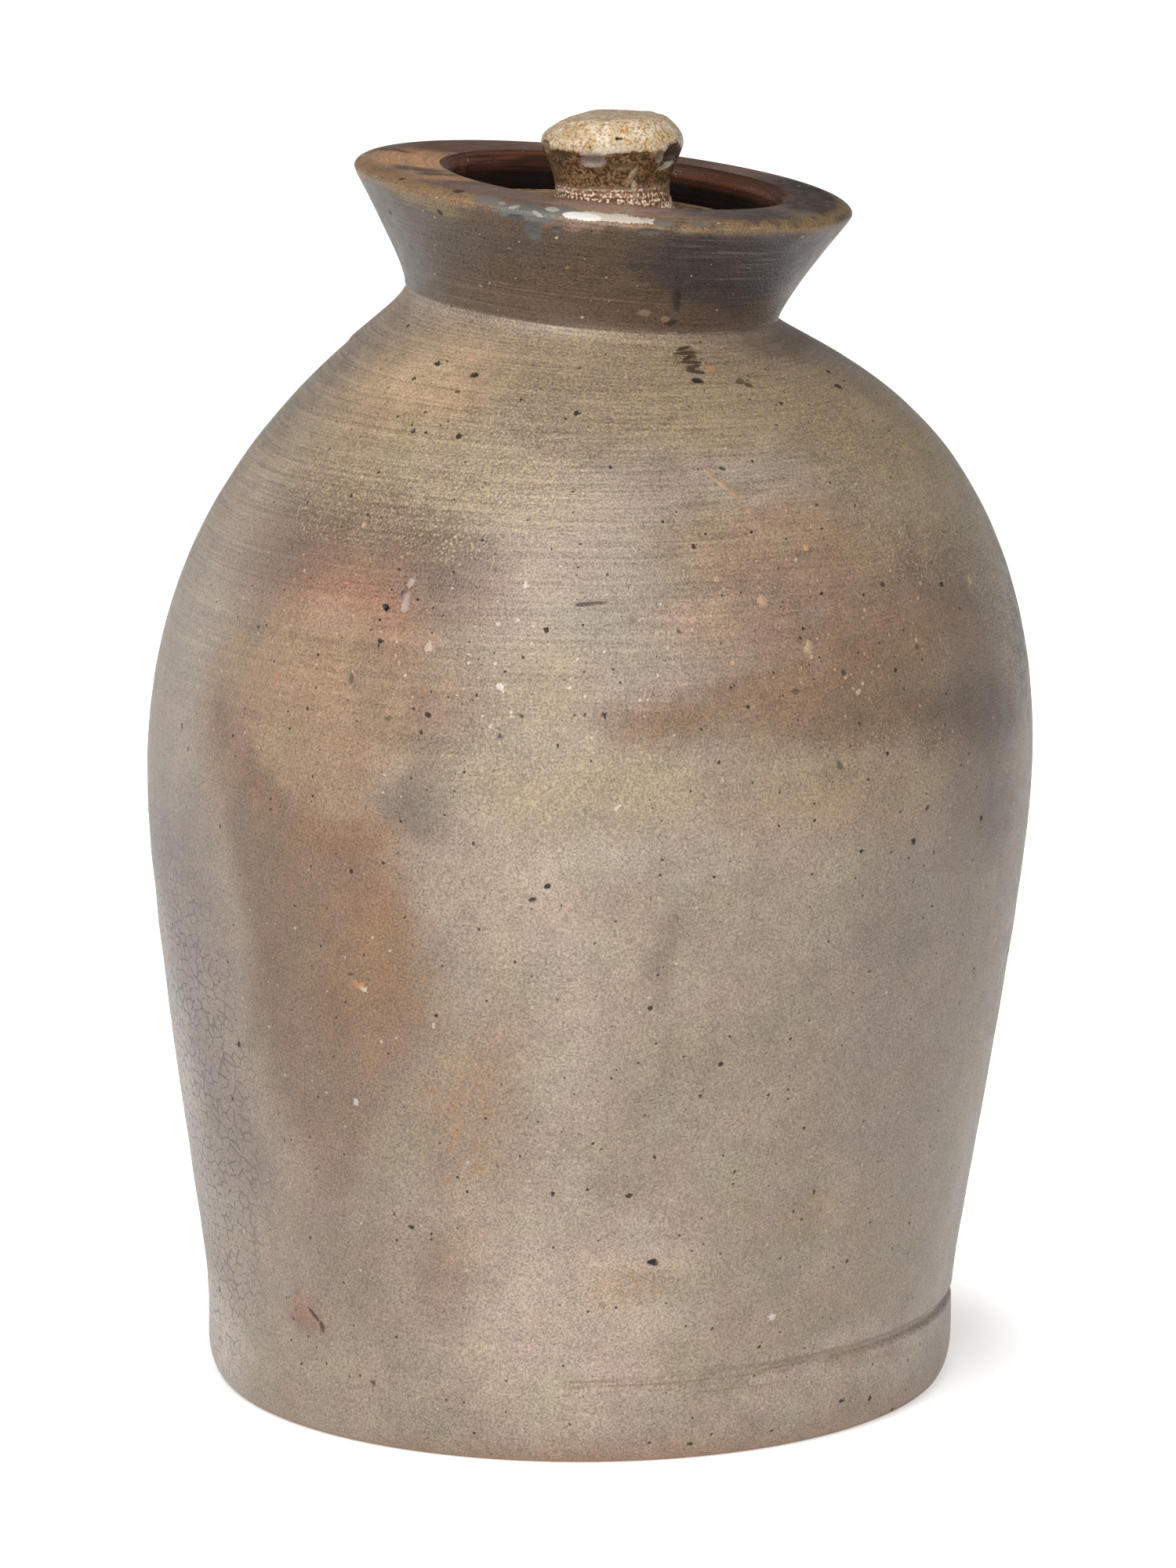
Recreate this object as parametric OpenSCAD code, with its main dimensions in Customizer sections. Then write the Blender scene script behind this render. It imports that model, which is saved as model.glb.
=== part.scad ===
// Stoneware preserve jar with a loose knobbed lid, in millimetres.
// The jar was thrown upright and slumped a little in the kiln: its axis drifts to +X as it
// rises, and the collar leans that way too. It is one closed skin, stretched over a stack
// of rings that follow the drift and the lean. The lid is turned, and lies on a ledge
// inside the collar. The origin is the centre of the foot on the ground, with +Z up and
// the front of the jar facing -Y.

/* [Foot] */
// Radius of the foot band
foot_r = 92.8; // [80:0.1:100]
// Width of the rounding between the band and the ground
foot_round = 4; // [2:0.1:7]
// Height of that rounding
foot_round_h = 9; // [3:0.1:12]
// Height of the groove above the foot band
groove_z = 21; // [15:0.1:25]
// Height of the groove's opening
groove_w = 4.4; // [2:0.1:6]
// Depth of the groove where it is deepest
groove_depth = 1.6; // [0.4:0.1:2.4]
// Direction in which the groove is deepest, in degrees from +X
groove_side = -15; // [-60:1:60]

/* [Body] */
// Radius of the wall just above the groove
waist_r = 93.1; // [84:0.1:102]
// Height of the wall's lower end
waist_z = 24.5; // [23.5:0.1:32]
// Angle of the lower wall from upright
wall_taper = 5.6; // [2:0.1:9]
// Radius of the belly
belly_r = 109; // [104:0.1:116]
// Height of the belly
belly_z = 152.5; // [136:0.5:166]
// Height over which the belly turns inwards above its widest ring
shoulder_lift = 90; // [70:1:92]
// Depth of the faint step turned on the shoulder
step_depth = 0.6; // [0.1:0.1:1]
// Height of that step below the collar
step_drop = 13; // [9:0.5:18]
// Thickness of the wall
wall = 8.5; // [6:0.1:11]
// Thickness of the floor
floor_t = 11; // [8:0.1:15]
// Rounding between the wall and the floor, inside
floor_round = 10; // [5:0.5:14]

/* [Slump] */
// Steady drift of the axis, from the foot to the collar
lean = 1.8; // [0:0.1:4]
// Further drift that grows with the square of the height
slump = 4.4; // [0:0.1:6]
// How far the collar stands back from that drift
collar_back = 3.3; // [0:0.1:4]
// Height at which the rings begin to tilt
sag_z = 206; // [186:1:230]
// Tilt of the collar towards +X, in degrees
collar_tilt = 5.7; // [0:0.1:8]
// Tilt of the collar towards the front, in degrees
collar_nod = 1; // [0:0.1:3]

/* [Collar] */
// Radius where the collar meets the shoulder
neck_r = 45.3; // [43:0.1:50]
// Height where the collar meets the shoulder
neck_z = 268; // [256:0.5:281]
// Radius of the rim at its widest
rim_r = 60.9; // [57:0.1:68]
// Height of the widest ring above the seam
collar_h = 27.3; // [25:0.1:36]
// Upright length at the foot of the collar, before it flares
collar_foot = 4; // [2:0.5:9]
// Height of the rim's rolled edge below its widest ring
roll_drop = 1.5; // [0.8:0.1:2.2]
// Height of the rim's flat top above its widest ring
roll_rise = 2.6; // [1:0.1:3.5]
// Width of the rim's rolled edge
roll_w = 6; // [3:0.1:8]
// Rounding of the lip round the mouth
lip_round = 3; // [1:0.1:4]
// Distance of the mouth from the middle of the collar, towards +X
mouth_shift = 2.9; // [0:0.1:4]
// Width of the ledge that the lid lies on
ledge_w = 6; // [4:0.1:7]

/* [Lid] */
// Radius of the lid's disc
lid_r = 39.2; // [36:0.1:40]
// Clearance between the disc and the mouth
lid_gap = 1.2; // [0.6:0.1:2]
// Thickness of the disc
lid_t = 7; // [5:0.1:9]
// Depth of the disc's top below the rim
lid_drop = 8.9; // [6:0.1:11]
// Rounding of the disc's upper edge
lid_round = 1.5; // [0.5:0.1:2.5]
// Radius of the knob at its widest
knob_r = 17.4; // [15:0.1:20]
// Height of that widest ring above the disc
knob_brow_h = 17.2; // [14:0.1:18]
// Radius of the knob's flat crown
knob_crown_r = 11.5; // [6:0.1:13]
// Radius of the knob's waist
knob_waist_r = 13.9; // [11:0.1:14]
// Radius of the knob's foot
knob_foot_r = 20; // [18:0.1:24]
// Height of the knob above the disc
knob_h = 25.2; // [23:0.1:32]
// Size of the chips knocked from the knob's edge
chip_r = 3.6; // [2:0.1:5]

/* [Hidden] */

// Sides of the jar's skin, and steps along each of its longer curves
sides = 60;
wall_steps = 8;
shoulder_steps = 14;
// Powers that set how late the tilt and the collar's step back come in
tilt_power = 3.5;
back_power = 30;
// Pulls of the curves on each side of the belly and under the collar
belly_pull = 30;
waist_pull = 16;
neck_pull = 8;
collar_flare_pull = 6;
// Height of the knob's waist above the disc
knob_waist_h = 7.2;
// Sides of the lid's curves
round_fn = 96;

bore_r = lid_r + lid_gap;
throat_r = bore_r - ledge_w;
rim_top = collar_h + roll_rise;
lid_top = rim_top - lid_drop;
ledge_h = lid_top - lid_t;
step_z = neck_z - step_drop;

// Point at share t of the curve that leaves a towards b and reaches d from c
function bezier(a, b, c, d, t) =
    a * pow(1 - t, 3) + 3 * b * t * pow(1 - t, 2) + 3 * c * t * t * (1 - t) + d * pow(t, 3);

// Points of that curve from step "first" of n to its end
function curve(a, b, c, d, n, first = 0) = [for (i = [first:n]) bezier(a, b, c, d, i / n)];

// Points of a quarter ellipse round c, from angle a to angle b
function arc(c, rx, rz, a, b, n) =
    [for (i = [0:n]) let (t = a + (b - a) * i / n) c + [rx * cos(t), rz * sin(t)]];

// The slump: share of the collar's tilt that has come in at height z, and the axis there
function tilt_share(z) = pow(min(1, max(0, (z - sag_z) / (neck_z - sag_z))), tilt_power);
function axis_x(z) =
    let (t = z / neck_z) lean * t + slump * t * t - collar_back * pow(t, back_power);

// A point of the slumped jar, from its place [x, y] on the ring and the ring's height
function tilted(p, tx, ty) =
    let (y = p.y * cos(tx) - p.z * sin(tx), z = p.y * sin(tx) + p.z * cos(tx))
    [p.x * cos(ty) + z * sin(ty), y, z * cos(ty) - p.x * sin(ty)];
function slumped(x, y, z) =
    let (
        base = min(z, neck_z),
        share = tilt_share(base)
    )
    [axis_x(base), 0, base] + tilted([x, y, z - base], collar_nod * share, collar_tilt * share);

// Outside of the wall and of the shoulder, as [radius, height]
wall_end = [belly_r, belly_z];
neck_end = [neck_r, neck_z];
wall_curve = curve([waist_r, waist_z], [waist_r, waist_z] + waist_pull * [sin(wall_taper), cos(wall_taper)],
    wall_end - [0, belly_pull], wall_end, wall_steps);
shoulder_curve = curve(wall_end, wall_end + [0, shoulder_lift], neck_end - [0, neck_pull],
    neck_end, shoulder_steps, 1);

// Inside of the shoulder and of the wall, going down
throat_end = [throat_r, neck_z - wall / 2];
inner_belly = [belly_r - wall, belly_z];
inner_waist = [waist_r - wall, floor_t + floor_round];
inner_shoulder = curve(throat_end, throat_end - [0, neck_pull],
    inner_belly + [0, shoulder_lift - wall], inner_belly, shoulder_steps - 2);
inner_wall = curve(inner_belly, inner_belly - [0, belly_pull],
    inner_waist + waist_pull * [sin(wall_taper), cos(wall_taper)], inner_waist, wall_steps - 2, 1);

// Outline of the collar above the seam, from its foot over the rim to the mouth's lip
flare_end = [rim_r - roll_drop / 2, collar_h - roll_drop];
flare_way = (flare_end - [neck_r, collar_foot]) / norm(flare_end - [neck_r, collar_foot]);
collar_curve = concat(
    curve([neck_r, 0], [neck_r, collar_foot], flare_end - collar_flare_pull * flare_way, flare_end, 6, 1),
    arc([rim_r - roll_w, collar_h], roll_w, roll_rise, 0, 90, 5));
lip_curve = arc([bore_r + lip_round, rim_top - lip_round], lip_round, lip_round, 90, 180, 4);

// The groove is deepest on one side and dies out round the front. The step faces -X.
function groove_share(a) = max(0, cos(a - groove_side));
function step_share(a) = max(0, -cos(a));

// Every station of the skin: [radius, height, shift of its centre, groove cut, step cut]
function stations(points, shift = 0, lift = 0) = [for (p = points) [p.x, p.y + lift, shift, 0, 0]];
function shift_at(z) = mouth_shift * tilt_share(z);
outline = concat(
    stations(arc([foot_r - foot_round, foot_round_h], foot_round, foot_round_h, -90, 0, 5)),
    [
        [foot_r, groove_z - groove_w / 2, 0, 0, 0],
        [foot_r, groove_z - groove_w / 6, 0, groove_depth, 0],
        [waist_r, groove_z + groove_w / 6, 0, groove_depth, 0]
    ],
    stations(wall_curve),
    [for (p = shoulder_curve) [p.x, p.y, 0, 0, p.y > step_z && p.y < neck_z ? step_depth : 0]],
    stations(collar_curve, 0, neck_z),
    stations(lip_curve, mouth_shift, neck_z),
    stations([[bore_r, ledge_h], [throat_r, ledge_h]], mouth_shift, neck_z),
    [for (p = inner_shoulder) [p.x, p.y, shift_at(p.y), 0, 0]],
    stations(inner_wall),
    stations(arc([waist_r - wall - floor_round, floor_t + floor_round], floor_round, floor_round, 0, -90, 4))
);

// One ring of the skin
function ring(s) = [for (i = [0:sides - 1])
    let (a = 360 * i / sides, r = s[0] - s[3] * groove_share(a) - s[4] * step_share(a))
    slumped(r * cos(a) + s[2], r * sin(a), s[1])];

// Closed skin over a list of rings, with a middle point at each end
module skin(rings, first_middle, last_middle) {
    n = len(rings[0]);
    m = len(rings);
    points = concat([for (r = rings, p = r) p], [first_middle, last_middle]);
    sides_faces = [for (j = [0:m - 2], i = [0:n - 1])
        let (a = j * n + i, b = j * n + (i + 1) % n)
        each [[a, a + n, b + n], [a, b + n, b]]];
    end_faces = [for (i = [0:n - 1])
        let (k = (i + 1) % n, top = (m - 1) * n)
        each [[m * n, i, k], [m * n + 1, top + k, top + i]]];
    polyhedron(points, concat(sides_faces, end_faces));
}

// Places its children in the frame of the collar, on the seam
module on_collar() {
    translate([axis_x(neck_z), 0, neck_z]) rotate([collar_nod, collar_tilt, 0]) children();
}

// The jar: foot, wall, shoulder, collar and rim, thrown as one piece of clay
module jar() {
    color("#9a8a74")
        skin([for (s = outline) ring(s)], [0, 0, 0], [axis_x(floor_t), 0, floor_t]);
}

// The turned disc of the lid, with its upper edge rounded
module lid_disc() {
    rotate_extrude($fn = round_fn)
        polygon(concat([[0, 0], [lid_r, 0]],
            arc([lid_r - lid_round, lid_t - lid_round], lid_round, lid_round, 0, 90, 4),
            [[0, lid_t]]));
}

// The knob: a flared foot, a waist and a bevelled mushroom top, upright on the tilted disc
module knob() {
    waist = [knob_waist_r, knob_waist_h];
    brow = [knob_r, knob_brow_h];
    outline = concat(
        [[0, -lid_t / 2], [knob_foot_r, -lid_t / 2]],
        curve([knob_foot_r, 0], [knob_waist_r + 1, knob_waist_h / 4], waist - [0, knob_waist_h / 2], waist, 6),
        curve(waist, waist + [0, 4], brow - [1.5, 4], brow, 6, 1),
        curve(brow, brow + [0.6, 2.6], [knob_crown_r + 3.5, knob_h - 0.8], [knob_crown_r, knob_h - 0.3], 7, 1),
        [[0, knob_h]]);
    rotate_extrude($fn = round_fn) polygon(outline);
}

// The chips on the knob's edge: one ball-shaped bite for each [direction, height, bite]
chips = [[-28, knob_brow_h + 0.5, 2.2], [-120, knob_brow_h - 1.5, 1.5], [-82, knob_brow_h - 2, 1]];
module knob_chips() {
    for (c = chips)
        rotate(c[0]) translate([knob_r + chip_r - c[2], 0, c[1]]) sphere(chip_r, $fn = 32);
}

// The lid, lying on the ledge
module lid() {
    color("#b09468")
        on_collar() translate([mouth_shift, 0, ledge_h]) union() {
            lid_disc();
            translate([0, 0, lid_t]) rotate([-collar_nod, -collar_tilt, 0]) difference() {
                knob();
                knob_chips();
            }
        }
}

jar();
lid();
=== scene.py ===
"""A stoneware preserve jar with a loose knobbed lid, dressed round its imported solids.

The jar is thrown upright round the Z axis. There it gets its throwing ripples, groove, pits and
chips, and then it slumps as the real one did in the kiln. Every pattern in its glaze reads the
"thrown" attribute, the place of a point before the slump, so that turning lines, flashes and
stains follow the leaning collar.

Directions are in degrees from the front of the jar (-Y), positive to the right (+X).
Sizes are in metres, as in the frame.
"""

import math
from collections import namedtuple

import bmesh
import bpy
from mathutils import Matrix, Vector, kdtree, noise


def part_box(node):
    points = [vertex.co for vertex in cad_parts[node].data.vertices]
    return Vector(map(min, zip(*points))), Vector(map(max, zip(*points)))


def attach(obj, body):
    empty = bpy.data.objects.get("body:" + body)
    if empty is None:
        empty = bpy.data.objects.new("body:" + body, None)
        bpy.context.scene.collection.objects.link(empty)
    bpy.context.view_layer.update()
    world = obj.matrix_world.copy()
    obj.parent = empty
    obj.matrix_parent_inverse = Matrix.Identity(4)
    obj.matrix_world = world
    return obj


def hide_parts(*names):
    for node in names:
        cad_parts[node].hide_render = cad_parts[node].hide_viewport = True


bl_info = {
    "name": "Stoneware Preserve Jar",
    "version": (1, 0, 0),
    "blender": (4, 5, 0),
    "location": "3D View > Sidebar > Jar",
    "description": "Throws, slumps and glazes a preserve jar and its knobbed lid",
    "category": "Add Mesh",
}

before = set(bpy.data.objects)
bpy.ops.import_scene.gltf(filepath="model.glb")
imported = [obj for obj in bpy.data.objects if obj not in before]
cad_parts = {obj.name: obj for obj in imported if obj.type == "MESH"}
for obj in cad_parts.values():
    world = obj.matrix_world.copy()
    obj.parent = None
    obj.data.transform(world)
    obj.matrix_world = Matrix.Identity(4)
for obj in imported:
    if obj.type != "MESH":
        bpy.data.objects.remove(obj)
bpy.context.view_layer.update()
JAR_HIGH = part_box("jar")[1]

MM = 0.001
UP = Vector((0, 0, 1))
QUARTER = math.pi / 2
MERGE_WITHIN = 0.01 * MM


def linear(code):
    """The linear colour, with alpha, of an sRGB hex value."""
    parts = [int(code[i : i + 2], 16) / 255 for i in (1, 3, 5)]
    return tuple(p / 12.92 if p <= 0.04045 else ((p + 0.055) / 1.055) ** 2.4 for p in parts) + (1,)


def length(name, description, size):
    """A length property, with its default in metres."""
    return bpy.props.FloatProperty(
        name=name, description=description, default=size, min=0, unit="LENGTH", precision=4
    )


def angle(name, description, degrees):
    """An angle property, with its default in degrees."""
    return bpy.props.FloatProperty(
        name=name, description=description, default=math.radians(degrees), unit="ROTATION"
    )


def colour(name, description, code):
    """A colour property, with its default as an sRGB hex value."""
    return bpy.props.FloatVectorProperty(
        name=name, description=description, default=linear(code), size=4, min=0, max=1, subtype="COLOR"
    )


def number(name, description, value):
    """A plain number property."""
    return bpy.props.FloatProperty(name=name, description=description, default=value, min=0)


class JarSizes(bpy.types.PropertyGroup):
    """Sizes of the jar as thrown, before it slumps."""

    foot_radius: length("Foot radius", "Radius of the foot band", 0.0928)
    foot_round: length("Foot rounding", "Width of the rounding under the foot band", 0.004)
    foot_round_height: length("Foot rounding height", "Height of that rounding", 0.009)
    groove_height: length("Groove height", "Height of the groove above the foot band", 0.021)
    groove_width: length("Groove width", "Height of the groove's opening", 0.0044)
    groove_depth: length("Groove depth", "Depth of the groove where it is deepest", 0.0016)
    groove_way: angle("Groove direction", "Direction in which the groove is deepest", 75)
    waist_radius: length("Waist radius", "Radius of the wall just above the groove", 0.0931)
    waist_height: length("Waist height", "Height of the wall's lower end", 0.0245)
    wall_taper: angle("Wall taper", "Angle of the lower wall from upright", 5.6)
    belly_radius: length("Belly radius", "Radius of the belly", JAR_HIGH.y)
    belly_height: length("Belly height", "Height of the belly", 0.1525)
    shoulder_lift: length("Shoulder lift", "Height over which the belly turns inwards", 0.090)
    wall: length("Wall", "Thickness of the wall", 0.0085)
    floor: length("Floor", "Thickness of the floor", 0.011)
    floor_round: length("Floor rounding", "Rounding between the wall and the floor, inside", 0.010)
    neck_radius: length("Neck radius", "Radius where the collar meets the shoulder", 0.0453)
    neck_height: length("Neck height", "Height where the collar meets the shoulder", 0.268)
    rim_radius: length("Rim radius", "Radius of the rim at its widest", 0.0609)
    collar_height: length("Collar height", "Height of the widest ring above the seam", 0.0273)
    collar_foot: length("Collar foot", "Upright length at the foot of the collar", 0.004)
    roll_drop: length("Roll drop", "Height of the rolled edge below the widest ring", 0.0015)
    roll_rise: length("Roll rise", "Height of the rim's flat top above the widest ring", 0.0026)
    roll_width: length("Roll width", "Width of the rim's rolled edge", 0.006)
    lip_round: length("Lip rounding", "Rounding of the lip round the mouth", 0.003)
    bore_radius: length("Mouth radius", "Radius of the mouth above the ledge", 0.0404)
    ledge_width: length("Ledge width", "Width of the ledge that the lid lies on", 0.006)
    ledge_height: length("Ledge height", "Height of the ledge above the seam", 0.014)
    mouth_shift: length("Mouth shift", "Distance of the mouth from the collar's middle", 0.0029)


class SlumpSizes(bpy.types.PropertyGroup):
    """How far the jar sank to one side in the kiln."""

    lean: length("Lean", "Steady drift of the axis, from the foot to the collar", 0.0018)
    sag: length("Sag", "Further drift that grows with the square of the height", 0.0044)
    collar_back: length("Collar back", "How far the collar stands back from that drift", 0.0033)
    sag_height: length("Sag height", "Height at which the rings begin to tilt", 0.206)
    tilt: angle("Tilt", "Tilt of the collar towards the right", 5.7)
    nod: angle("Nod", "Tilt of the collar towards the front", 1)
    neck_height: length("Neck height", "Height of the collar's seam", 0.268)


class LidSizes(bpy.types.PropertyGroup):
    """Sizes of the lid, whose disc lies on the ledge in the collar."""

    radius: length("Disc radius", "Radius of the disc", 0.0392)
    thickness: length("Disc thickness", "Thickness of the disc", 0.007)
    edge_round: length("Edge rounding", "Rounding of the disc's edges", 0.0015)
    knob_radius: length("Knob radius", "Radius of the knob at its widest", 0.0174)
    brow_height: length("Brow height", "Height of that widest ring above the disc", 0.0172)
    crown_radius: length("Crown radius", "Radius of the knob's flat crown", 0.0115)
    stem_radius: length("Stem radius", "Radius of the knob's waist", 0.0139)
    stem_height: length("Stem height", "Height of the waist above the disc", 0.0072)
    knob_foot: length("Knob foot", "Radius of the knob's flared foot", 0.020)
    knob_height: length("Knob height", "Height of the knob above the disc", 0.0252)


class GlazeColours(bpy.types.PropertyGroup):
    """Colours of the bare clay, the salt glaze and the slip."""

    clay: colour("Clay", "Grey-buff clay under thin salt glaze", "#a39484")
    collar: colour("Collar", "Olive-brown glaze on the collar", "#625040")
    rim: colour("Rim", "Brown glaze on the rim", "#82675a")
    worn: colour("Worn edge", "Pale clay where the rim's edge is worn", "#927857")
    # The two slip colours are darker than the slip itself: painted shade inside the mouth
    slip: colour("Slip", "Red-brown slip inside the mouth", "#190907")
    shaded_thick_slip: colour("Dark slip", "Slip where it lies thick", "#080303")
    # The lip colour is slip rubbed thin, and also painted light at the top of the inner wall
    lit_rubbed_lip: colour("Lip", "Slip that is rubbed on the lip of the mouth", "#6b3f29")
    pit: colour("Pit", "Iron pits in the glaze", "#1c120c")
    grain: colour("Grain", "Pale grains in the clay", "#d3c3b3")
    crackle: colour("Crackle", "Dirt in the crackled glaze", "#574437")
    bare_clay: colour("Bare clay", "Unglazed clay under the foot and at the foot of the knob", "#bb9474")
    tint: colour("Tint", "Warm tint of the thin glaze over all of the clay", "#fdf9f5")
    knob: colour("Knob", "Worn crown of the knob", "#d6bd98")
    knob_pale: colour("Pale knob", "Palest wear on the knob", "#efe1ce")
    knob_orange: colour("Knob freckles", "Orange freckles on the crown", "#c58a3c")
    knob_glaze: colour("Knob glaze", "Olive-brown glaze on the stem", "#6f5134")
    knob_thin: colour("Thin knob glaze", "Stem glaze where it is thin", "#957350")
    knob_dark: colour("Dark knob glaze", "Stem glaze where it pools", "#3c2a1b")
    knob_rust: colour("Knob rust", "Rusty grit at the foot of the knob", "#7b4f38")
    disc: colour("Disc", "Tan edge of the lid's disc", "#a98663")
    ground: colour("Ground", "White ground under the jar", "#f4f4f2")


class StudioSettings(bpy.types.PropertyGroup):
    """The camera's place and the strength of each light."""

    camera_distance: length("Camera distance", "Level distance from the jar's axis", 1.829)
    camera_height: length("Camera height", "Height of the camera", 0.51809)
    camera_drop: angle("Camera drop", "Angle at which the camera looks down", 11.457)
    focal_pixels: number("Focal length", "Focal length in pixels of the 2000-pixel frame", 9639.93)
    offset_pixels: number("Offset", "Pixels by which the jar's axis lies left of the middle", 10.21)
    key: number("Key", "Power of the soft light from the upper left, in watts", 15.5)
    fill: number("Fill", "Power of the broad light in front, in watts", 14)
    edge: number("Edge", "Power of the light behind the jar on the left, in watts", 1.9)
    sky: number("Sky", "Strength of the pale light all round", 0.30)
    backdrop: number("Backdrop", "How bright the paper looks in the jar's glaze", 0.55)
    shadow_end: length("Shadow end", "Distance from the axis at which the ground turns white", 0.15)


FRAME_PIXELS = 2000
SENSOR = 36

# The outline and the slump


def bezier(a, b, c, d, steps, first=0):
    """Points of the curve that leaves a towards b and reaches d from c."""
    a, b, c, d = (Vector(p) for p in (a, b, c, d))
    shares = [i / steps for i in range(first, steps + 1)]
    return [
        a * (1 - t) ** 3 + 3 * b * t * (1 - t) ** 2 + 3 * c * t * t * (1 - t) + d * t**3 for t in shares
    ]


def arc(centre, wide, tall, start, end, steps):
    """Points of an elliptical arc, from angle start to angle end in degrees."""
    angles = [math.radians(start + (end - start) * i / steps) for i in range(steps + 1)]
    return [Vector((centre[0] + wide * math.cos(t), centre[1] + tall * math.sin(t))) for t in angles]


def line(a, b, steps):
    """Points along the straight stretch after a, up to b."""
    a, b = Vector(a), Vector(b)
    return [a.lerp(b, i / steps) for i in range(1, steps + 1)]


def ease(low, high, value):
    """0 up to low, 1 from high on, and smooth between them."""
    t = min(1, max(0, (value - low) / (high - low)))
    return t * t * (3 - 2 * t)


BELLY_PULL = 0.030
WAIST_PULL = 0.016
NECK_PULL = 0.008
FLARE_PULL = 0.006
SEAM_STEP = 0.0005
TILT_POWER = 3.5
BACK_POWER = 30


def jar_outside(s):
    """Outline of the jar from the middle of its underside to the top of its lip."""
    base = s.foot_radius - s.foot_round
    taper = WAIST_PULL * Vector((math.sin(s.wall_taper), math.cos(s.wall_taper)))
    waist = Vector((s.waist_radius, s.waist_height))
    belly = Vector((s.belly_radius, s.belly_height))
    neck = Vector((s.neck_radius, s.neck_height))
    rim = s.neck_height + s.collar_height
    rim_top = rim + s.roll_rise
    flare_end = Vector((s.rim_radius - s.roll_drop / 2, rim - s.roll_drop))
    collar_foot = neck + Vector((SEAM_STEP, s.collar_foot))
    flare_pull = FLARE_PULL * (flare_end - collar_foot).normalized()
    outline = [Vector((0, 0))]
    outline += line(outline[-1], (base, 0), 5)
    outline += arc((base, s.foot_round_height), s.foot_round, s.foot_round_height, -90, 0, 10)[1:]
    outline += line(outline[-1], (s.foot_radius, s.groove_height - s.groove_width / 2), 6)
    outline += line(outline[-1], waist, 12)
    outline += bezier(waist, waist + taper, belly - Vector((0, BELLY_PULL)), belly, 50, 1)
    outline += bezier(belly, belly + Vector((0, s.shoulder_lift)), neck - Vector((0, NECK_PULL)), neck, 66, 1)
    outline += bezier(neck + Vector((SEAM_STEP, 0)), collar_foot, flare_end - flare_pull, flare_end, 24)
    outline += arc((s.rim_radius - s.roll_width, rim), s.roll_width, s.roll_rise, 0, 90, 10)
    outline += line(outline[-1], (s.bore_radius + s.lip_round, rim_top), 6)
    return outline


def jar_inside(s):
    """Outline of the jar from its lip over the ledge and down the inner wall to the floor."""
    rim_top = s.neck_height + s.collar_height + s.roll_rise
    throat = Vector((s.bore_radius - s.ledge_width, s.neck_height - s.wall / 2))
    belly = Vector((s.belly_radius - s.wall, s.belly_height))
    waist = Vector((s.waist_radius - s.wall, s.floor + s.floor_round))
    taper = WAIST_PULL * Vector((math.sin(s.wall_taper), math.cos(s.wall_taper)))
    ledge = s.neck_height + s.ledge_height
    outline = arc(
        (s.bore_radius + s.lip_round, rim_top - s.lip_round), s.lip_round, s.lip_round, 90, 180, 8
    )[1:]
    outline += line(outline[-1], (s.bore_radius, ledge), 10)
    outline += line(outline[-1], (throat.x, ledge), 2)
    outline += line(outline[-1], throat, 3)
    outline += bezier(
        throat, throat - Vector((0, NECK_PULL)), belly + Vector((0, s.shoulder_lift - s.wall)), belly, 14, 1
    )
    outline += bezier(belly, belly - Vector((0, BELLY_PULL)), waist + taper, waist, 10, 1)
    outline += arc((waist.x - s.floor_round, waist.y), s.floor_round, s.floor_round, 0, -90, 4)[1:]
    outline += line(outline[-1], (0, s.floor), 3)
    return outline


def spun(outline, sides, inside_from=None):
    """A bmesh of the outline spun round Z. Its "inside" layer is 1 from the outline's point inside_from on.
    One quarter is spun and copied round, because a spin slows down as it grows."""
    clay = bmesh.new()
    inside = clay.verts.layers.float.new("inside")
    points = [clay.verts.new((p.x, 0, p.y)) for p in outline]
    for i, v in enumerate(points):
        v[inside] = 1 if inside_from is not None and i >= inside_from else 0
    edges = [clay.edges.new(pair) for pair in zip(points, points[1:])]
    bmesh.ops.spin(clay, geom=points + edges, cent=(0, 0, 0), axis=UP, angle=QUARTER, steps=sides // 4)
    quarter = clay.verts[:] + clay.edges[:] + clay.faces[:]
    for turns in (1, 2, 3):
        copy = bmesh.ops.duplicate(clay, geom=quarter)["geom"]
        corners = [g for g in copy if isinstance(g, bmesh.types.BMVert)]
        bmesh.ops.rotate(clay, verts=corners, matrix=Matrix.Rotation(turns * QUARTER, 3, "Z"))
    bmesh.ops.remove_doubles(clay, verts=clay.verts, dist=MERGE_WITHIN)
    bmesh.ops.recalc_face_normals(clay, faces=clay.faces)
    return clay


def way_of(point):
    """Direction of a point from the front, in radians, positive to the right."""
    return math.atan2(point.x, -point.y)


def place(way, radius, height):
    """The point in that direction, in degrees, at that radius and height."""
    a = math.radians(way)
    return Vector((radius * math.sin(a), -radius * math.cos(a), height))


def slumped(point, k):
    """Where a point of the upright jar comes to lie after the slump."""
    base = min(point.z, k.neck_height)
    tilt_share = min(1, max(0, (base - k.sag_height) / (k.neck_height - k.sag_height))) ** TILT_POWER
    rise = base / k.neck_height
    axis_x = k.lean * rise + k.sag * rise**2 - k.collar_back * rise**BACK_POWER
    turn = Matrix.Rotation(k.tilt * tilt_share, 3, "Y") @ Matrix.Rotation(k.nod * tilt_share, 3, "X")
    return Vector((axis_x, 0, base)) + turn @ Vector((point.x, point.y, point.z - base))


# The material helpers

MIX_FACTOR, MIX_A, MIX_B, MIX_RESULT = 0, 6, 7, 2
SLOW_TURN = 0.03


def add(tree, kind, inputs=None, **settings):
    """Adds a node of that kind with its settings. Inputs are values, or outputs to link."""
    new = tree.nodes.new("ShaderNode" + kind)
    for name, value in settings.items():
        setattr(new, name, value)
    for key, value in (inputs or {}).items():
        if isinstance(value, bpy.types.NodeSocket):
            tree.links.new(value, new.inputs[key])
        else:
            new.inputs[key].default_value = value
    return new


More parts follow.
